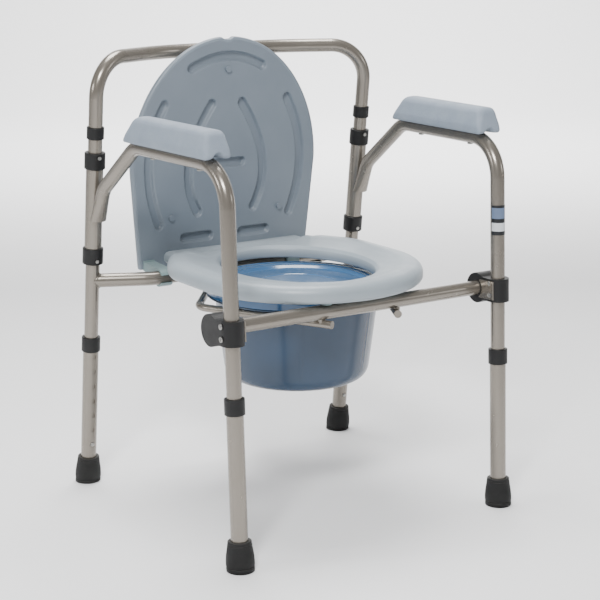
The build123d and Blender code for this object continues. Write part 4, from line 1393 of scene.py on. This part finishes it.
@dataclass(frozen=True)
class Studio:
    """Pale floor, soft lights and the camera, in metres, degrees and watts."""

    camera_at: tuple[float, float, float] = (-1.3672, -2.0739, 0.9122)
    pitch: float = 13.446
    heading: float = -33.70
    lens: float = 97.08
    floor_front: float = -12.0
    floor_back: float = 5.0
    floor_half: float = 14.0
    floor_drop: float = 0.0005
    cove_radius: float = 3.0
    backdrop_top: float = 12.0
    surroundings: float = 0.38

    def camera(self) -> None:
        """Put up the camera at its viewing angle."""
        data = bpy.data.cameras.new("camera")
        data.lens = self.lens
        data.sensor_width = 36.0
        data.clip_end = 50.0
        camera = bpy.data.objects.new("camera", data)
        camera.location = self.camera_at
        camera.rotation_euler = (math.radians(90.0 - self.pitch), 0.0, math.radians(self.heading))
        bpy.context.scene.collection.objects.link(camera)
        bpy.context.scene.camera = camera

    def lamp(self, name: str, at: Sequence[float], aim: Sequence[float], size: float, power: float) -> None:
        """One square softbox.

        Args:
            name: the lamp's name.
            at: its place.
            aim: the point that it faces.
            size: the length of its side.
            power: its power in watts.
        """
        data = bpy.data.lights.new(name, "AREA")
        data.shape = "SQUARE"
        data.size = size
        data.energy = power
        lamp = bpy.data.objects.new(name, data)
        lamp.location = at
        toward = np.array(aim) - np.array(at)
        flat = math.hypot(toward[0], toward[1])
        lamp.rotation_euler = (math.atan2(flat, -toward[2]), 0.0, math.atan2(-toward[0], toward[1]))
        bpy.context.scene.collection.objects.link(lamp)

    def floor(self) -> None:
        """Pale floor that curves up into a backdrop: flat in front, a quarter round, then upright."""
        turn = np.linspace(0.05, 1.57, 20)
        flat = np.linspace(self.floor_front, self.floor_back, 30)
        curve = self.floor_back + self.cove_radius * np.sin(turn)
        back = np.concatenate([flat, curve, [self.floor_back + self.cove_radius]])
        curve_up = self.cove_radius - self.cove_radius * np.cos(turn)
        rise = np.concatenate([np.zeros_like(flat), curve_up, [self.backdrop_top]])
        across = np.linspace(-self.floor_half, self.floor_half, 40)
        heading = math.radians(self.heading)
        x = across[None] * math.cos(heading) - back[:, None] * math.sin(heading)
        y = across[None] * math.sin(heading) + back[:, None] * math.cos(heading)
        z = np.broadcast_to(rise[:, None] - self.floor_drop, x.shape)
        floor = mesh_object("studio_floor", *shell(np.stack([x, y, z], axis=-1) / MM, around=False))
        made = bpy.data.materials.new("pale_paper")
        made.use_nodes = True
        tree = made.node_tree
        shader = tree.nodes["Principled BSDF"]
        where = add_node(tree, "ShaderNodeTexCoord", {}, {}).outputs["Object"]
        fibre = add_node(tree, "ShaderNodeTexNoise", {"Scale": 6.0, "Detail": 3.0}, {"Vector": where})
        tone = add_node(
            tree,
            "ShaderNodeMix",
            {"data_type": "RGBA", 6: linear("FBFBFB"), 7: linear("F8F8F9")},
            {"Factor": fibre.outputs["Fac"]},
        )
        tree.links.new(tone.outputs[2], shader.inputs["Base Color"])
        shader.inputs["Roughness"].default_value = 0.9
        floor.data.materials.append(made)

    def world(self) -> None:
        """Even white surroundings."""
        world = bpy.data.worlds.new("studio")
        world.use_nodes = True
        background = world.node_tree.nodes["Background"]
        background.inputs["Color"].default_value = (1.0, 1.0, 1.0, 1.0)
        background.inputs["Strength"].default_value = self.surroundings
        bpy.context.scene.world = world

    def build(self) -> None:
        """Put up the camera, the floor and the lights."""
        self.camera()
        self.floor()
        self.world()
        aim = (0.0, 0.0, 0.4)
        self.lamp("key", (-1.7, -1.9, 2.7), aim, 0.8, 120.0)
        self.lamp("edge", (-2.8, 0.6, 1.3), aim, 0.5, 18.0)
        self.lamp("fill", (2.6, -2.4, 1.4), aim, 0.6, 10.0)
        self.lamp("top", (0.2, 0.5, 2.6), aim, 1.2, 80.0)
        self.lamp("backdrop", (2.0, 2.6, 3.2), (4.0, 6.0, 1.0), 2.5, 520.0)


def main() -> None:
    """Build every piece of the chair and the studio round it."""
    logging.basicConfig(level=logging.INFO, format="%(message)s")
    wardrobe = Wardrobe()
    stance = Stance()
    Studio().build()
    wardrobe.dress_frame()
    SeatRing().build(wardrobe)
    LidPanel().build(wardrobe)
    bucket = Bucket()
    bucket.build_bucket(wardrobe)
    bucket.build_cover(wardrobe)
    for side in Side:
        ArmPad().build(side, stance, wardrobe)
        for end, place in (("rear", stance.rear_leg(side)), ("front", stance.front_leg(side))):
            Ferrule().build(f"{side.label}_{end}_foot", f"{side.label}_{end}_leg", place, wardrobe)
    Fittings(stance).build(wardrobe)


if __name__ == "__main__":
    main()
